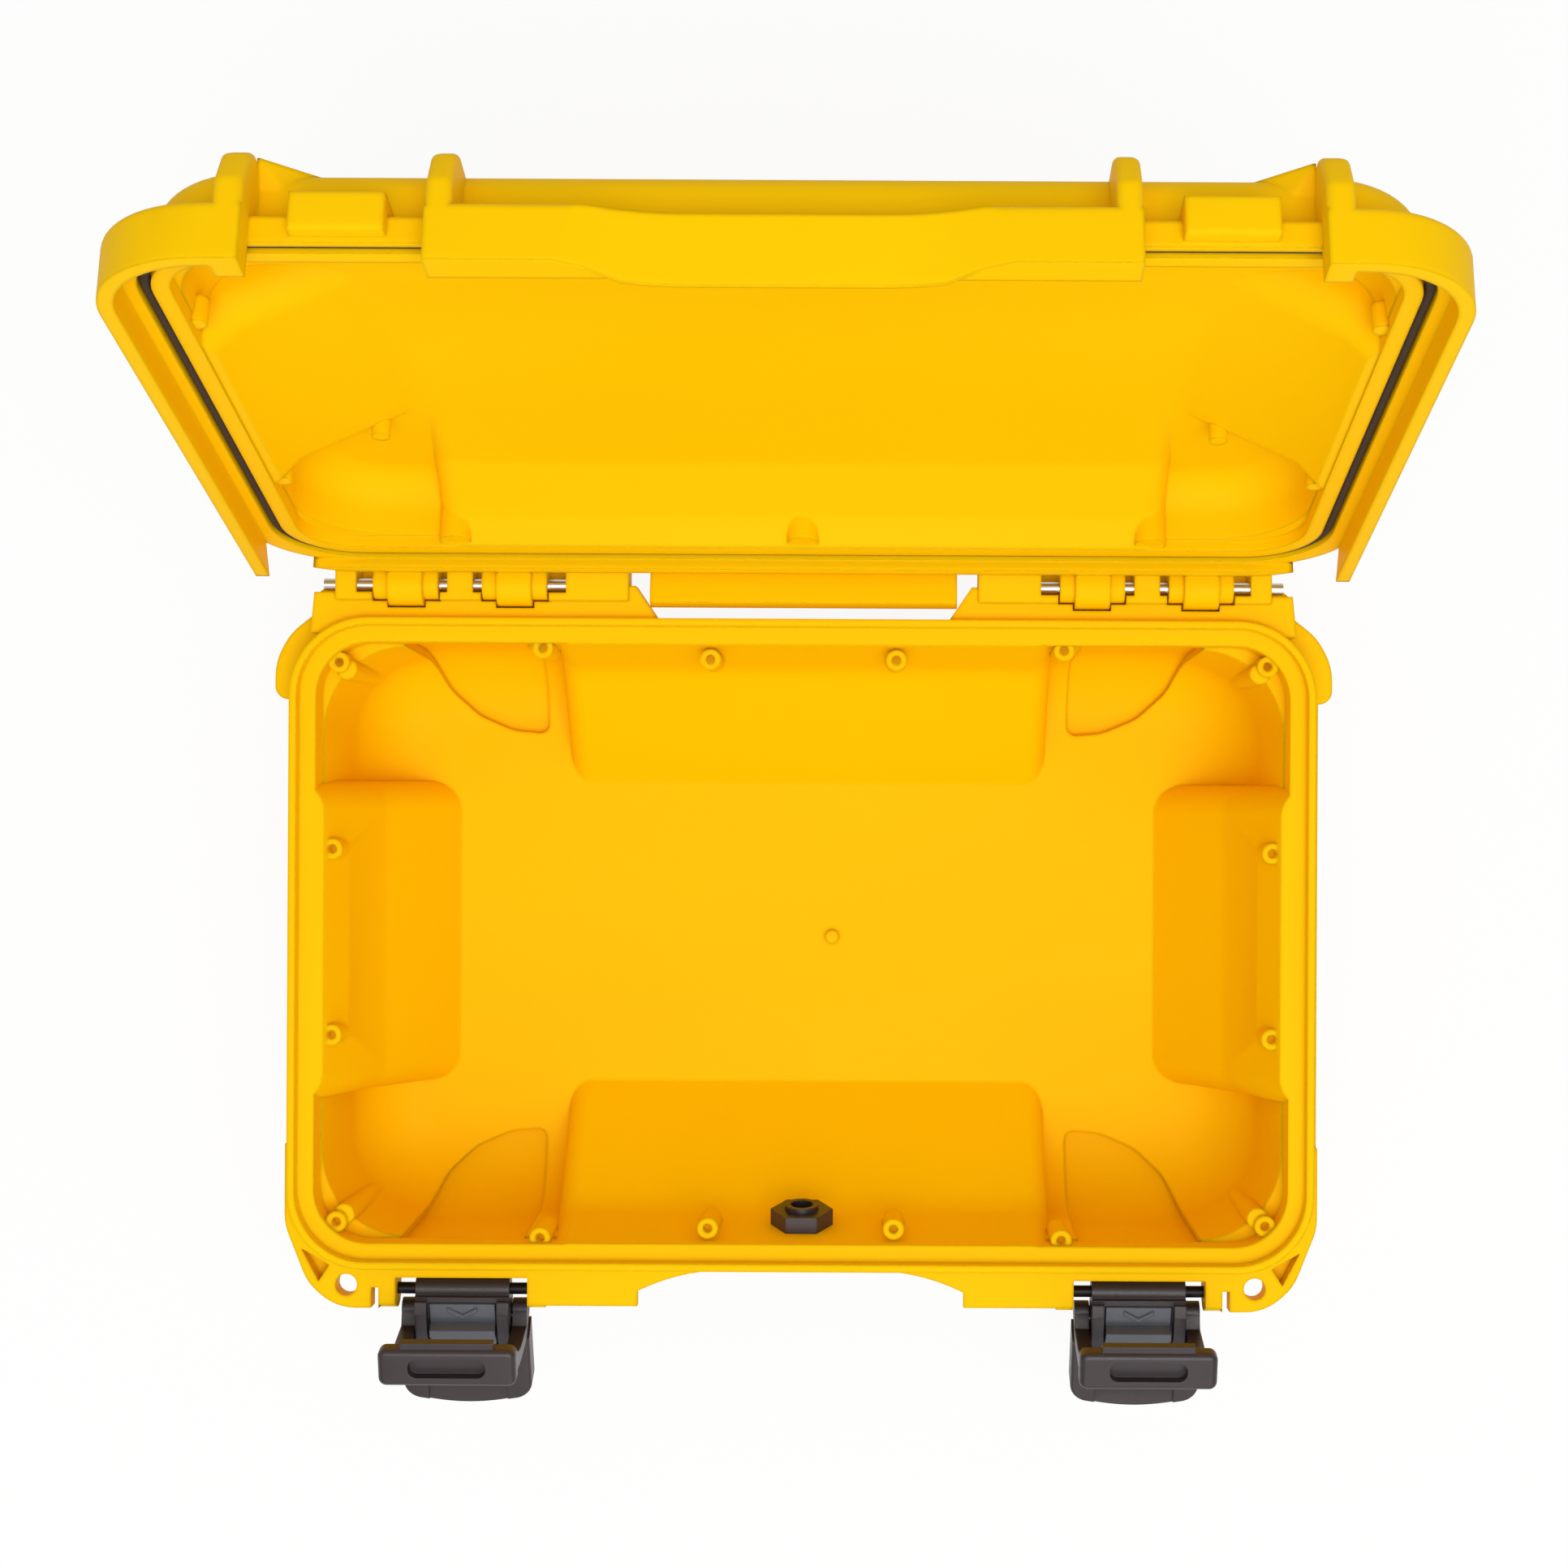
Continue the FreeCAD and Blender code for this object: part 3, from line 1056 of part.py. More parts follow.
def valve_pieces():
    """Pressure valve: body through the front panel, nut inside, seal outside, membrane in the bore."""
    seat = "-(%s) - seal_t" % WALL_THICK
    head = rod("valve_head", "z", "head_r", "head_t", "0", "0", "%s - head_t" % seat)
    stem = rod("valve_stem", "z", "stem_r", less(seat, "nut_t + 1.5"), "0", "0", seat)
    bore = rod("valve_bore", "z", "stem_bore_r", "20", "0", "0", "-3")
    vent = rod("valve_vent", "z", "1.5", "30", "0", "0", "-20")
    body = on_valve(cut("valve_body", fuse("valve_solid", head, stem), bore, vent))
    disc = on_valve(rod("valve_membrane", "z", "stem_bore_r - pin_gap", "0.6", "0", "0", "0"), "-2.95")
    washer = rod("seal_outer", "z", "head_r - 1", "seal_t - 0.04", "0", "0", "%s + 0.02" % seat)
    washer_hole = rod("seal_hole", "z", "stem_r + pin_gap", "20", "0", "0", "-15")
    seal = on_valve(cut("valve_seal", washer, washer_hole))
    corner = "(nut_flat / sqrt(3))"
    hexagon = [(corner, "0"), (corner + " / 2", "nut_flat / 2"), ("-%s / 2" % corner, "nut_flat / 2"),
               (neg(corner), "0"), ("-%s / 2" % corner, "-nut_flat / 2"), (corner + " / 2", "-nut_flat / 2")]
    blank = prism("nut_blank", "xy", hexagon, "0.02", "nut_t")
    nut_hole = rod("nut_hole", "z", "stem_r + pin_gap", "20", "0", "0", "-5")
    nut = on_valve(cut("valve_nut", blank, nut_hole))
    return [body, disc, seal, nut]


def all_nodes():
    nodes = [base_shell(), lid_shell(), lid_gasket()]
    for side_name, side in (("left", "-"), ("right", "")):
        for make in (latch_lever, slide_lock, lock_spring, latch_claw, lever_pin, claw_pin):
            nodes.append(make(side_name, side))
    nodes += [hinge_pin("left", "-pin_out"), hinge_pin("right", "pin_in")]
    nodes += [handle_frame(), handle_grip()]
    nodes.append(handle_pin("left", "-handle_half - run_gap - handle_lug_t"))
    nodes.append(handle_pin("right", "handle_half - arm_t"))
    return nodes + valve_pieces()


NODES = all_nodes()
doc.recompute()

# Every object has to be sound before anything is written.
for item in doc.Objects:
    if "Invalid" in item.State or "Error" in item.State:
        raise RuntimeError("%s did not recompute" % item.Name)

os.makedirs("parts", exist_ok=True)
for item in NODES:
    item.Label = item.Name
    if item.Shape.isNull() or not item.Shape.isValid() or len(item.Shape.Solids) != 1:
        raise RuntimeError("%s is not one sound solid" % item.Label)
    item.Shape.exportStep("parts/%s.step" % item.Label)
    print(item.Label, round(item.Shape.Volume))
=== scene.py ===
# %% [markdown]
# A yellow protective case lies open on a table and is seen from straight above.
# Its solids come from CAD as a fixed frame, in metres, so nothing here has to be fitted.
# This lesson dresses them: smooth skins, moulded resin, rubber, steel, and a few small pieces.

# %% Load the frame
import json
import math

import bmesh
import bpy
from mathutils import Matrix, Vector


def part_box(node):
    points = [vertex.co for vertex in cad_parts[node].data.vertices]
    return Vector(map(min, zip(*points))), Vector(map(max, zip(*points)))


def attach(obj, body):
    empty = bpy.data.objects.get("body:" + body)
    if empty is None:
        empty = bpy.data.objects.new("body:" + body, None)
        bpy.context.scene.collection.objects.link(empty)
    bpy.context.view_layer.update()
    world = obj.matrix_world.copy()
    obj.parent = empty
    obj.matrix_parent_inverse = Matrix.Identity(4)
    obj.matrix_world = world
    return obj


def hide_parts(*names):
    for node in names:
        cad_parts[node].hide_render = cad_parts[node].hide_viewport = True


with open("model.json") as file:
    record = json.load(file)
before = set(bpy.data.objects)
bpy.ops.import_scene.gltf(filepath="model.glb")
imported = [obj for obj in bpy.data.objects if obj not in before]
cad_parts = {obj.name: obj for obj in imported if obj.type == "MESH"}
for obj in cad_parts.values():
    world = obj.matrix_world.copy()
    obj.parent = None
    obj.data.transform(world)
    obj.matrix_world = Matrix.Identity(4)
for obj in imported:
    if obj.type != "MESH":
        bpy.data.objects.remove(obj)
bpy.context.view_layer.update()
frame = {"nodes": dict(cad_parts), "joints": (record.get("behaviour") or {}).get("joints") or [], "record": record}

MM = 0.001

# %% [markdown]
# Colours are easiest to read as the hex values of a picture, but the shader works in linear light.
# One function turns hex to linear, and one adds a node with its settings and links.
# Every material below is written with just these two.

# %% Colour and node helpers
def linear(text):
    """Linear colour from an sRGB hex value."""
    shares = [int(text[i:i + 2], 16) / 255 for i in (1, 3, 5)]
    return [c / 12.92 if c <= 0.04045 else ((c + 0.055) / 1.055) ** 2.4 for c in shares] + [1.0]


def add(tree, kind, inputs=None, **settings):
    """Adds a node: its settings, then its inputs as plain values or as links from sockets."""
    node = tree.nodes.new(kind)
    for name, value in settings.items():
        setattr(node, name, value)
    for key, value in (inputs or {}).items():
        if isinstance(value, bpy.types.NodeSocket):
            tree.links.new(value, node.inputs[key])
        else:
            node.inputs[key].default_value = value
    return node


def new_material(name):
    """Material with an empty Principled surface, and the place that its patterns read."""
    material = bpy.data.materials.new(name)
    material.use_nodes = True
    tree = material.node_tree
    shader = tree.nodes["Principled BSDF"]
    place = add(tree, "ShaderNodeTexCoord").outputs["Object"]
    return material, tree, shader, place


def per_mm(size):
    """Texture scale that makes one cell of a pattern this many millimetres wide."""
    return 1 / (size * MM)


print("yellow as linear light:", [round(c, 3) for c in linear("#F8C300")])

# %% [markdown]
# The shells are polypropylene, moulded in a steel tool with a fine spark-eroded grain.
# The grain is about 0.3 mm, too fine for the picture, so it is drawn at 0.9 mm and kept shallow.
# Moulded edges are never sharp: the Bevel node rounds the light over each edge by 1.8 mm,
# and where it bends the normal a painted highlight makes the colour a little paler.
# The last number of the recipe is the strength of the reflection. It is low for the yellow,
# because the photo shows hardly any shine on the flat floor of the tub.

# %% Moulded polypropylene
MIX_A, MIX_B, MIX_OUT = 6, 7, 2  # the colour sockets of a Mix node, which share their names with others
CLOUD_MM = 70
EDGE_START, EDGE_FULL = 0.99, 0.80  # how far an edge bends the normal, as a cosine
# share of the paler colour in the painted highlight on edges
EDGE_HIGHLIGHT = 0.55
CLOUD_PALE = 0.22
RESIN_IOR = 1.49


def moulded_resin(name, colour, pale, grain_mm, rough, edge_mm, depth, sheen):
    """Moulded resin: fine grain, cloudy colour, soft edges with a painted highlight that makes them slightly
    paler.
    """
    material, tree, shader, place = new_material(name)
    edge = add(tree, "ShaderNodeBevel", {"Radius": edge_mm * MM}, samples=4).outputs["Normal"]
    flat = add(tree, "ShaderNodeNewGeometry").outputs["Normal"]
    turn = add(tree, "ShaderNodeVectorMath", {0: edge, 1: flat}, operation="DOT_PRODUCT").outputs["Value"]
    # Painted highlight: where the Bevel normal turns away from the surface, the colour is mixed towards the paler
    # one.
    edge_highlight = add(tree, "ShaderNodeMapRange", {"Value": turn, "From Min": EDGE_START, "From Max": EDGE_FULL,
                                            "To Min": 0.0, "To Max": EDGE_HIGHLIGHT}).outputs["Result"]
    cloud = add(tree, "ShaderNodeTexNoise", {"Vector": place, "Scale": per_mm(CLOUD_MM),
                                             "Detail": 3.0}).outputs["Fac"]
    shade = add(tree, "ShaderNodeMapRange", {"Value": cloud, "From Min": 0.3, "From Max": 0.7,
                                             "To Min": 0.0, "To Max": CLOUD_PALE}).outputs["Result"]
    amount = add(tree, "ShaderNodeMath", {0: edge_highlight, 1: shade}, operation="MAXIMUM").outputs["Value"]
    mix = add(tree, "ShaderNodeMix", {0: amount, MIX_A: linear(colour), MIX_B: linear(pale)},
              data_type="RGBA")
    grain = add(tree, "ShaderNodeTexNoise", {"Vector": place, "Scale": per_mm(grain_mm), "Detail": 2.0,
                                             "Roughness": 0.6}).outputs["Fac"]
    gloss = add(tree, "ShaderNodeMapRange", {"Value": grain, "From Min": 0.3, "From Max": 0.7,
                                             "To Min": rough - 0.05,
                                             "To Max": rough + 0.07}).outputs["Result"]
    relief = add(tree, "ShaderNodeBump", {"Height": grain, "Normal": edge, "Strength": 0.5,
                                          "Distance": depth * MM}).outputs["Normal"]
    tree.links.new(mix.outputs[MIX_OUT], shader.inputs["Base Color"])
    tree.links.new(gloss, shader.inputs["Roughness"])
    tree.links.new(relief, shader.inputs["Normal"])
    shader.inputs["IOR"].default_value = RESIN_IOR
    shader.inputs["Specular IOR Level"].default_value = sheen
    return material


YELLOW = moulded_resin("polypropylene_moulded_yellow", "#F8C300", "#FBCB06", 0.9, 0.50, 1.8, 0.010, 0.04)
print("made", YELLOW.name)

# %% [markdown]
# The latches, the handle and the valve are glass-filled nylon: a warm black that scatters a soft grey light.
# The slide in each latch is acetal, a smoother grey. Both are moulded, so they share the resin's recipe
# with other colours, a coarser or finer grain and a smaller edge radius.

# %% Nylon and acetal
BLACK = moulded_resin("nylon_moulded_black", "#291C1F", "#43393C", 0.7, 0.38, 0.5, 0.008, 0.55)
GREY = moulded_resin("acetal_moulded_grey", "#4E515B", "#7C8189", 0.6, 0.32, 0.5, 0.004, 0.6)
print("made", BLACK.name, GREY.name)

# %% [markdown]
# The seal in the lid is a soft sponge rubber, dark brown-black and quite matt.
# Its closed cells are about 0.5 mm wide and are drawn as shallow pits.
# The handle's grip is a denser rubber with a soft-touch skin.
# The vent film in the valve is pale and porous, so it takes the same recipe with finer cells.

# %% Rubber
BLOTCH_MM = 9
RUBBER_IOR = 1.52


def sponge_rubber(name, colour, pale, cell_mm, depth, rough):
    """Matt rubber with fine cells."""
    material, tree, shader, place = new_material(name)
    cells = add(tree, "ShaderNodeTexVoronoi", {"Vector": place,
                                               "Scale": per_mm(cell_mm)}).outputs["Distance"]
    cloud = add(tree, "ShaderNodeTexNoise", {"Vector": place, "Scale": per_mm(BLOTCH_MM),
                                             "Detail": 4.0}).outputs["Fac"]
    mix = add(tree, "ShaderNodeMix", {0: cloud, MIX_A: linear(colour), MIX_B: linear(pale)},
              data_type="RGBA")
    relief = add(tree, "ShaderNodeBump", {"Height": cells, "Strength": 0.6,
                                          "Distance": depth * MM}).outputs["Normal"]
    tree.links.new(mix.outputs[MIX_OUT], shader.inputs["Base Color"])
    tree.links.new(relief, shader.inputs["Normal"])
    shader.inputs["Roughness"].default_value = rough
    shader.inputs["IOR"].default_value = RUBBER_IOR
    return material


SEAL = sponge_rubber("rubber_sponge_seal", "#2A1F16", "#3A2C20", 0.5, 0.05, 0.78)
GRIP = sponge_rubber("rubber_soft_touch_grip", "#1E1C1D", "#2C2A2B", 0.8, 0.03, 0.68)
FILM = sponge_rubber("film_porous_vent", "#D9D8D0", "#E6E5DE", 0.4, 0.01, 0.85)
print("made", SEAL.name, GRIP.name, FILM.name)

# %% [markdown]
# The hinge pins are drawn stainless rod. Drawing leaves fine lines along the rod,
# so the pattern is stretched along X, the way that every pin here lies.
# The latch pins are the same rod with a black oxide finish, and the small springs are less bright.

# %% Stainless steel
LINE_MM = 0.25
LINE_DEPTH = 0.004 * MM
LINE_SCALE = (0.02, 1.0, 1.0)


def drawn_steel(name, colour, rough):
    """Drawn stainless rod with fine lines along X."""
    material, tree, shader, place = new_material(name)
    drawn = add(tree, "ShaderNodeMapping", {"Vector": place, "Scale": LINE_SCALE}).outputs["Vector"]
    lines = add(tree, "ShaderNodeTexNoise", {"Vector": drawn, "Scale": per_mm(LINE_MM),
                                             "Detail": 3.0}).outputs["Fac"]
    gloss = add(tree, "ShaderNodeMapRange", {"Value": lines, "To Min": rough - 0.06,
                                             "To Max": rough + 0.1}).outputs["Result"]
    relief = add(tree, "ShaderNodeBump", {"Height": lines, "Strength": 0.3,
                                          "Distance": LINE_DEPTH}).outputs["Normal"]
    tree.links.new(gloss, shader.inputs["Roughness"])
    tree.links.new(relief, shader.inputs["Normal"])
    shader.inputs["Base Color"].default_value = linear(colour)
    shader.inputs["Metallic"].default_value = 1.0
    return material


STEEL = drawn_steel("steel_stainless_drawn", "#C9C9C6", 0.28)
DARK = drawn_steel("steel_black_oxide", "#2B282A", 0.40)
WIRE = drawn_steel("steel_spring_wire", "#A8A8A4", 0.34)
print("made", STEEL.name, DARK.name, WIRE.name)

# %% [markdown]
# A CAD mesh comes as loose triangles, which would show as facets on the rounded walls.
# Each node therefore gets a skin: a copy with its corners merged, shaded smooth,
# and kept sharp only where two faces really meet at an angle.

# %% Skins over the CAD nodes
BODY_OF = {node: body for body, nodes in frame["record"]["behaviour"]["bodies"].items() for node in nodes}
MERGE = 0.001 * MM
SHARP = math.radians(28)


def dress(piece, node, material):
    """Gives a piece its material, and puts it in the place of a CAD node."""
    piece.data.materials.clear()
    piece.data.materials.append(material)
    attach(piece, BODY_OF[node])
    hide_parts(node)
    return piece


def skin(node, material):
    """Merged, smooth copy of a CAD node."""
    mesh = frame["nodes"][node].data.copy()
    if "custom_normal" in mesh.attributes:
        mesh.attributes.remove(mesh.attributes["custom_normal"])
    work = bmesh.new()
    work.from_mesh(mesh)
    bmesh.ops.remove_doubles(work, verts=work.verts, dist=MERGE)
    work.to_mesh(mesh)
    work.free()
    mesh.shade_smooth()
    mesh.set_sharp_from_angle(angle=SHARP)
    piece = bpy.data.objects.new(node + "_skin", mesh)
    bpy.context.scene.collection.objects.link(piece)
    return dress(piece, node, material)


SIDES = ("left", "right")
for node in ("base_shell", "lid_shell"):
    skin(node, YELLOW)
for node in [side + part for side in SIDES for part in ("_latch_lever", "_latch_claw")]:
    skin(node, BLACK)
for node in ("handle_frame", "valve_body", "valve_nut"):
    skin(node, BLACK)
for side in SIDES:
    skin(side + "_slide_lock", GREY)
    for pin in (side + "_hinge_pin", "handle_pin_" + side):
        skin(pin, STEEL)
    for pin in (side + "_lever_pin", side + "_claw_pin"):
        skin(pin, DARK)
skin("valve_membrane", FILM)
skin("valve_seal", SEAL)
skin("handle_grip", GRIP)

# %% [markdown]
# The resin lets a little light through, so the screw holes in the thin bosses glow orange.
# Subsurface scattering gives that, but it is slow and changes little on the thick walls,
# so only the faces inside the holes get it. The record's screw patterns say where they are.
# Their resin is also paler than the shell's. That is painted light, which makes the holes brighter than the
# scattering alone does.

# %% Glow in the screw holes
GLOW_MM = 22
GLOW_SHARES = (1.0, 0.62, 0.1)  # red light goes furthest through yellow resin
HOLE_DEEP = 7.5 * MM
# Painted light: the paler colours brighten the hole walls beyond the real scattered glow.
GLOW = moulded_resin("polypropylene_thin_yellow_painted_light", "#FFCF30", "#FFD440", 0.9, 0.50, 0.3, 0.010, 0.04)
surface = GLOW.node_tree.nodes["Principled BSDF"].inputs
surface["Subsurface Weight"].default_value = 1.0
surface["Subsurface Radius"].default_value = GLOW_SHARES
surface["Subsurface Scale"].default_value = GLOW_MM * MM
shell = bpy.data.objects["base_shell_skin"].data
shell.materials.append(GLOW)
for mount in frame["record"]["mounts"]:
    if mount["kind"] != "bolt_pattern":
        continue
    sizes = mount["dims"]
    top = mount["pos_m"][2]
    for face in shell.polygons:
        off_x = abs(face.center.x) - sizes["spacing_x_mm"] / 2 * MM
        off_y = abs(face.center.y) - sizes["spacing_y_mm"] / 2 * MM
        near = math.hypot(off_x, off_y) < sizes["hole_r_mm"] * MM
        if near and top - HOLE_DEEP < face.center.z < top - MERGE:
            face.material_index = 1
print("faces in screw holes:", len([face for face in shell.polygons if face.material_index == 1]))

# %% [markdown]
# Three things on this case follow a path or repeat: the seal round the lid, the coils of the lock springs
# and the ribs of the grip. Each is a Geometry Nodes tree with its sizes as named inputs.
# The tree is run once on an empty object, and its result is kept as a plain mesh.

# %% Running a node tree
def new_tree(name, sizes):
    """Empty geometry tree with one named input for each size, and the sockets that give them."""
    tree = bpy.data.node_groups.new(name, "GeometryNodeTree")
    for size in sizes:
        tree.interface.new_socket(size, in_out="INPUT", socket_type="NodeSocketFloat")
    tree.interface.new_socket("Geometry", in_out="OUTPUT", socket_type="NodeSocketGeometry")
    given = add(tree, "NodeGroupInput").outputs
    return tree, given


def close_tree(tree, geometry, material):
    """Ends a tree: real geometry instead of instances, with its material."""
    real = add(tree, "GeometryNodeRealizeInstances", {"Geometry": geometry}).outputs["Geometry"]
    painted = add(tree, "GeometryNodeSetMaterial", {"Geometry": real,
                                                    "Material": material}).outputs["Geometry"]
    add(tree, "NodeGroupOutput", {"Geometry": painted})


def grow(name, tree, sizes, place):
    """Runs a tree with these sizes and keeps the result as a plain mesh, set in its place."""
    seed = bpy.data.objects.new(name + "_seed", bpy.data.meshes.new(name + "_seed"))
    bpy.context.scene.collection.objects.link(seed)
    modifier = seed.modifiers.new("tree", "NODES")
    modifier.node_group = tree
    for item in tree.interface.items_tree:
        if item.in_out == "INPUT":
            modifier[item.identifier] = float(sizes[item.name])
    bpy.context.view_layer.update()
    mesh = bpy.data.meshes.new_from_object(seed.evaluated_get(bpy.context.evaluated_depsgraph_get()))
    seed.modifiers.clear()
    bpy.data.objects.remove(seed)
    mesh.name = name
    mesh.transform(place)
    mesh.shade_smooth()
    piece = bpy.data.objects.new(name, mesh)
    bpy.context.scene.collection.objects.link(piece)
    print(name, "faces:", len(mesh.polygons))
    return piece


JOINT = {joint["name"]: joint for joint in frame["joints"]}
print("joints:", sorted(JOINT))

# %% [markdown]
# The seal is one length of rubber pressed into the lid's groove. It follows a rounded rectangle
# just over the base's tongue, so a filleted rectangle is the path and a small one the profile.
# It is drawn for the closed lid and then swung open about the hinge with the lid.

# %% Lid seal
SEAL_SIZES = {"Width": 302.3 * MM, "Depth": 191.3 * MM, "Corner": 22.15 * MM, "Band": 2.6 * MM,
              "Height": 3.0 * MM, "Soft": 1.2 * MM}
SEAL_Z = 82.48 * MM
HINGE = Vector(JOINT["lid_hinge"]["pos_m"])
LID_OPEN = math.radians(JOINT["lid_hinge"]["range_deg"][1])


def turned(centre, angle):
    """Turn about an axis along X through a point."""
    return Matrix.Translation(centre) @ Matrix.Rotation(angle, 4, "X") @ Matrix.Translation(-centre)


def rounded_rectangle(tree, width, height, radius, count):
    """Curve of a rectangle with round corners."""
    plain = add(tree, "GeometryNodeCurvePrimitiveQuadrilateral", {"Width": width, "Height": height})
    return add(tree, "GeometryNodeFilletCurve", {"Curve": plain.outputs["Curve"], "Count": count,
                                                 "Radius": radius}, mode="POLY").outputs["Curve"]


def swept(tree, path, profile, caps=False):
    """Mesh of a profile carried along a path."""
    return add(tree, "GeometryNodeCurveToMesh", {"Curve": path, "Profile Curve": profile,
                                                 "Fill Caps": caps}).outputs["Mesh"]


tree, given = new_tree("seal_path", SEAL_SIZES)
path = rounded_rectangle(tree, given["Width"], given["Depth"], given["Corner"], 14)
profile = rounded_rectangle(tree, given["Band"], given["Height"], given["Soft"], 5)
close_tree(tree, swept(tree, path, profile), SEAL)
seal = grow("lid_seal", tree, SEAL_SIZES, turned(HINGE, -LID_OPEN) @ Matrix.Translation((0, 0, SEAL_Z)))
dress(seal, "lid_gasket", SEAL)

# %% [markdown]
# Each slide is pushed back by a small coil spring in the lever. The coil is a spiral curve
# with a round wire as its profile. It lies in the lever, which stands open at 65 degrees.

# %% Lock springs
COIL_SIZES = {"Turns": 9, "Radius": 1.13 * MM, "Length": 6.5 * MM, "Wire": 0.24 * MM}
COIL_FOOT = Vector((0, -3.2 * MM, -22.3 * MM))  # from the lever's pin, with the lever hanging down
tree, given = new_tree("spring_coil", COIL_SIZES)
coil = add(tree, "GeometryNodeCurveSpiral", {"Resolution": 20, "Rotations": given["Turns"],
                                             "Start Radius": given["Radius"], "End Radius": given["Radius"],
                                             "Height": given["Length"]})
wire = add(tree, "GeometryNodeCurvePrimitiveCircle", {"Resolution": 8, "Radius": given["Wire"]})
close_tree(tree, swept(tree, coil.outputs["Curve"], wire.outputs["Curve"], caps=True), WIRE)
for side in SIDES:
    hinge = JOINT[side + "_lever_hinge"]
    pin = Vector(hinge["pos_m"])
    lean = turned(pin, -math.radians(hinge["range_deg"][1]))
    spring = grow(side + "_lock_coil", tree, COIL_SIZES, lean @ Matrix.Translation(pin + COIL_FOOT))
    dress(spring, side + "_lock_spring", WIRE)

# %% [markdown]
# The grip is moulded with low ribs that keep a wet hand from slipping. One rib is a rounded square ring,
# and a row of points along the grip carries a copy of it at each point.

# %% Grip ribs
GRIP_LOW, GRIP_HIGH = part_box("handle_grip")
RIB_COUNT = 15
RIB_STEP = 6 * MM
RIB_INSET = 0.9 * MM
RIB_SIZES = {"Side": GRIP_HIGH.z - GRIP_LOW.z - RIB_INSET, "Corner": 5.4 * MM, "Wire": 0.9 * MM,
             "First": -(RIB_COUNT - 1) / 2 * RIB_STEP, "Step": RIB_STEP}
tree, given = new_tree("grip_ribs", RIB_SIZES)
ring = rounded_rectangle(tree, given["Side"], given["Side"], given["Corner"], 5)
wire = add(tree, "GeometryNodeCurvePrimitiveCircle", {"Resolution": 8, "Radius": given["Wire"]})
rib = swept(tree, ring, wire.outputs["Curve"])
stand = add(tree, "GeometryNodeTransform", {"Geometry": rib, "Rotation": (0, math.pi / 2, 0)})
start = add(tree, "ShaderNodeCombineXYZ", {"X": given["First"]})
step = add(tree, "ShaderNodeCombineXYZ", {"X": given["Step"]})
row = add(tree, "GeometryNodeMeshLine", {"Count": RIB_COUNT, "Start Location": start.outputs["Vector"],
                                         "Offset": step.outputs["Vector"]}, mode="OFFSET")
spread = add(tree, "GeometryNodeInstanceOnPoints", {"Points": row.outputs["Mesh"],
                                                    "Instance": stand.outputs["Geometry"]})
close_tree(tree, spread.outputs["Instances"], GRIP)
ribs = grow("grip_ribs", tree, RIB_SIZES, Matrix.Translation((GRIP_LOW + GRIP_HIGH) / 2))
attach(ribs, "handle")

# %% [markdown]
# The case lies on a white sweep. The camera sees the sweep as white, through the Light Path node,
# but part of the real shading is kept, so the case still has its soft shadow on the floor.
# Shiny pieces see the same white. The sweep is clear from behind, so the underside can be looked at.

# %% Floor
FLOOR_HALF = 3.0
WHITE_SHARE = 0.9
floor_mesh = bpy.data.meshes.new("floor")
corners = [(-FLOOR_HALF, -FLOOR_HALF, 0), (FLOOR_HALF, -FLOOR_HALF, 0), (FLOOR_HALF, FLOOR_HALF, 0),
           (-FLOOR_HALF, FLOOR_HALF, 0)]
floor_mesh.from_pydata(corners, [], [(0, 1, 2, 3)])
floor = bpy.data.objects.new("floor", floor_mesh)
bpy.context.scene.collection.objects.link(floor)
paper, tree, shader, place = new_material("paper_sweep_white")
shader.inputs["Base Color"].default_value = linear("#F2F2F2")
shader.inputs["Roughness"].default_value = 0.9
light_path = add(tree, "ShaderNodeLightPath").outputs
seen = light_path["Is Camera Ray"]
for ray in ("Is Glossy Ray", "Is Transmission Ray"):
    seen = add(tree, "ShaderNodeMath", {0: seen, 1: light_path[ray]}, operation="MAXIMUM").outputs["Value"]
share = add(tree, "ShaderNodeMath", {0: seen, 1: WHITE_SHARE}, operation="MULTIPLY").outputs["Value"]
white = add(tree, "ShaderNodeEmission", {"Color": (1, 1, 1, 1), "Strength": 1.0}).outputs["Emission"]
both = add(tree, "ShaderNodeMixShader", {0: share, 1: shader.outputs["BSDF"], 2: white}).outputs["Shader"]
below = add(tree, "ShaderNodeNewGeometry").outputs["Backfacing"]
clear = add(tree, "ShaderNodeBsdfTransparent").outputs["BSDF"]
sided = add(tree, "ShaderNodeMixShader", {0: below, 1: both, 2: clear}).outputs["Shader"]
tree.links.new(sided, tree.nodes["Material Output"].inputs["Surface"])
floor_mesh.materials.append(paper)
print("floor:", 2 * FLOOR_HALF, "m wide")

# %% [markdown]
# The photo's light is a large soft box above and a little in front of the case: the rear walls of the tub
# and the inside of the lid are bright, and the front wall is darker. A pale world fills the shadows,
# and the camera sees it as plain white.
# The levels add up to about 1 on a white surface that faces up, so colours come out as they are written.

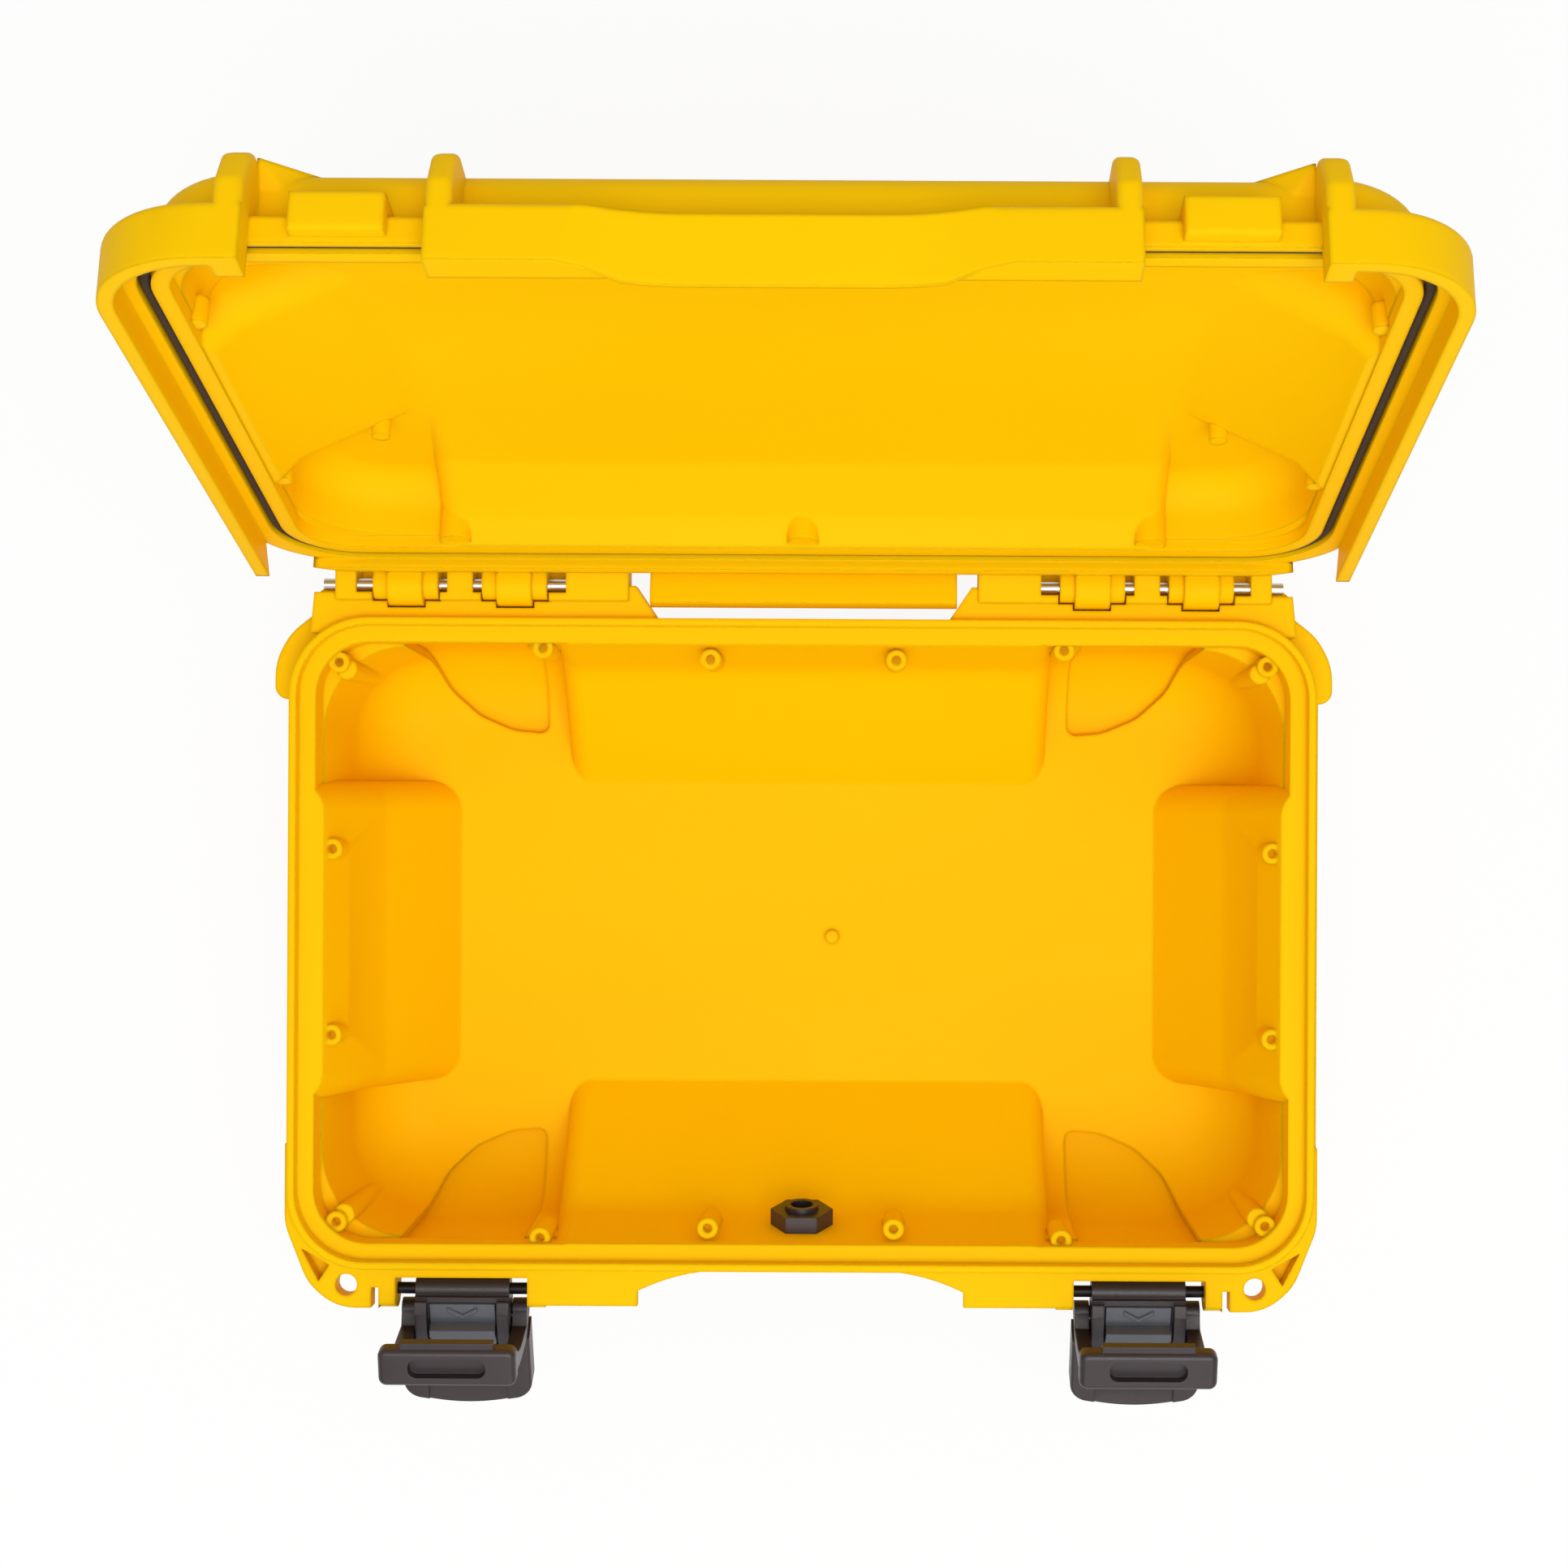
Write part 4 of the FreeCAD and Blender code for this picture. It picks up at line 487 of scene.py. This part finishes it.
# %% Light
FILL_LEVEL = 0.55
world = bpy.data.worlds.new("studio")
bpy.context.scene.world = world
world.use_nodes = True
sky = world.node_tree.nodes["Background"]
sky.inputs["Color"].default_value = (1, 1, 1, 1)
direct = add(world.node_tree, "ShaderNodeLightPath").outputs["Is Camera Ray"]
level = add(world.node_tree, "ShaderNodeMapRange", {"Value": direct, "To Min": FILL_LEVEL, "To Max": 1.0})
world.node_tree.links.new(level.outputs["Result"], sky.inputs["Strength"])


def soft_box(name, where, aim, width, height, watts):
    """Rectangular studio lamp that faces a point."""
    lamp = bpy.data.lights.new(name, "AREA")
    lamp.shape = "RECTANGLE"
    lamp.size, lamp.size_y, lamp.energy = width, height, watts
    item = bpy.data.objects.new(name, lamp)
    item.location = where
    item.rotation_euler = (Vector(aim) - Vector(where)).to_track_quat("-Z", "Y").to_euler()
    bpy.context.scene.collection.objects.link(item)
    return item


soft_box("top_box", (0.15, -0.35, 1.7), (0, 0.05, 0.08), 1.2, 1.0, 16.5)
soft_box("front_box", (0.2, -1.5, 1.0), (0, 0.1, 0.12), 1.2, 0.8, 4)
print("lamps:", len(bpy.data.lights))

# %% [markdown]
# The photo was taken from straight above with the lens over the rear half of the tub, a little to the right.
# Its vanishing points give the height, about 0.89 m, and the frame is cut off centre,
# which is the small sideways shift. The picture is also turned by a third of a degree.

# %% Camera
PHOTO_PX = 1932
FOCAL_PX = 3382
AXIS_PX = (1071, 963)
SENSOR_MM = 36
LENS_AT = (19.8 * MM, 48.7 * MM, 893 * MM)
PICTURE_TURN = math.radians(0.3)
camera_data = bpy.data.cameras.new("camera")
camera_data.sensor_width = SENSOR_MM
camera_data.lens = SENSOR_MM * FOCAL_PX / PHOTO_PX
camera_data.shift_x = (PHOTO_PX / 2 - AXIS_PX[0]) / PHOTO_PX
camera_data.shift_y = (AXIS_PX[1] - PHOTO_PX / 2) / PHOTO_PX
camera = bpy.data.objects.new("camera", camera_data)
camera.location = LENS_AT
camera.rotation_euler = (0, 0, PICTURE_TURN)
bpy.context.scene.collection.objects.link(camera)
bpy.context.scene.camera = camera
bpy.context.scene.view_settings.view_transform = "Standard"
print("lens:", round(camera_data.lens, 1), "mm")
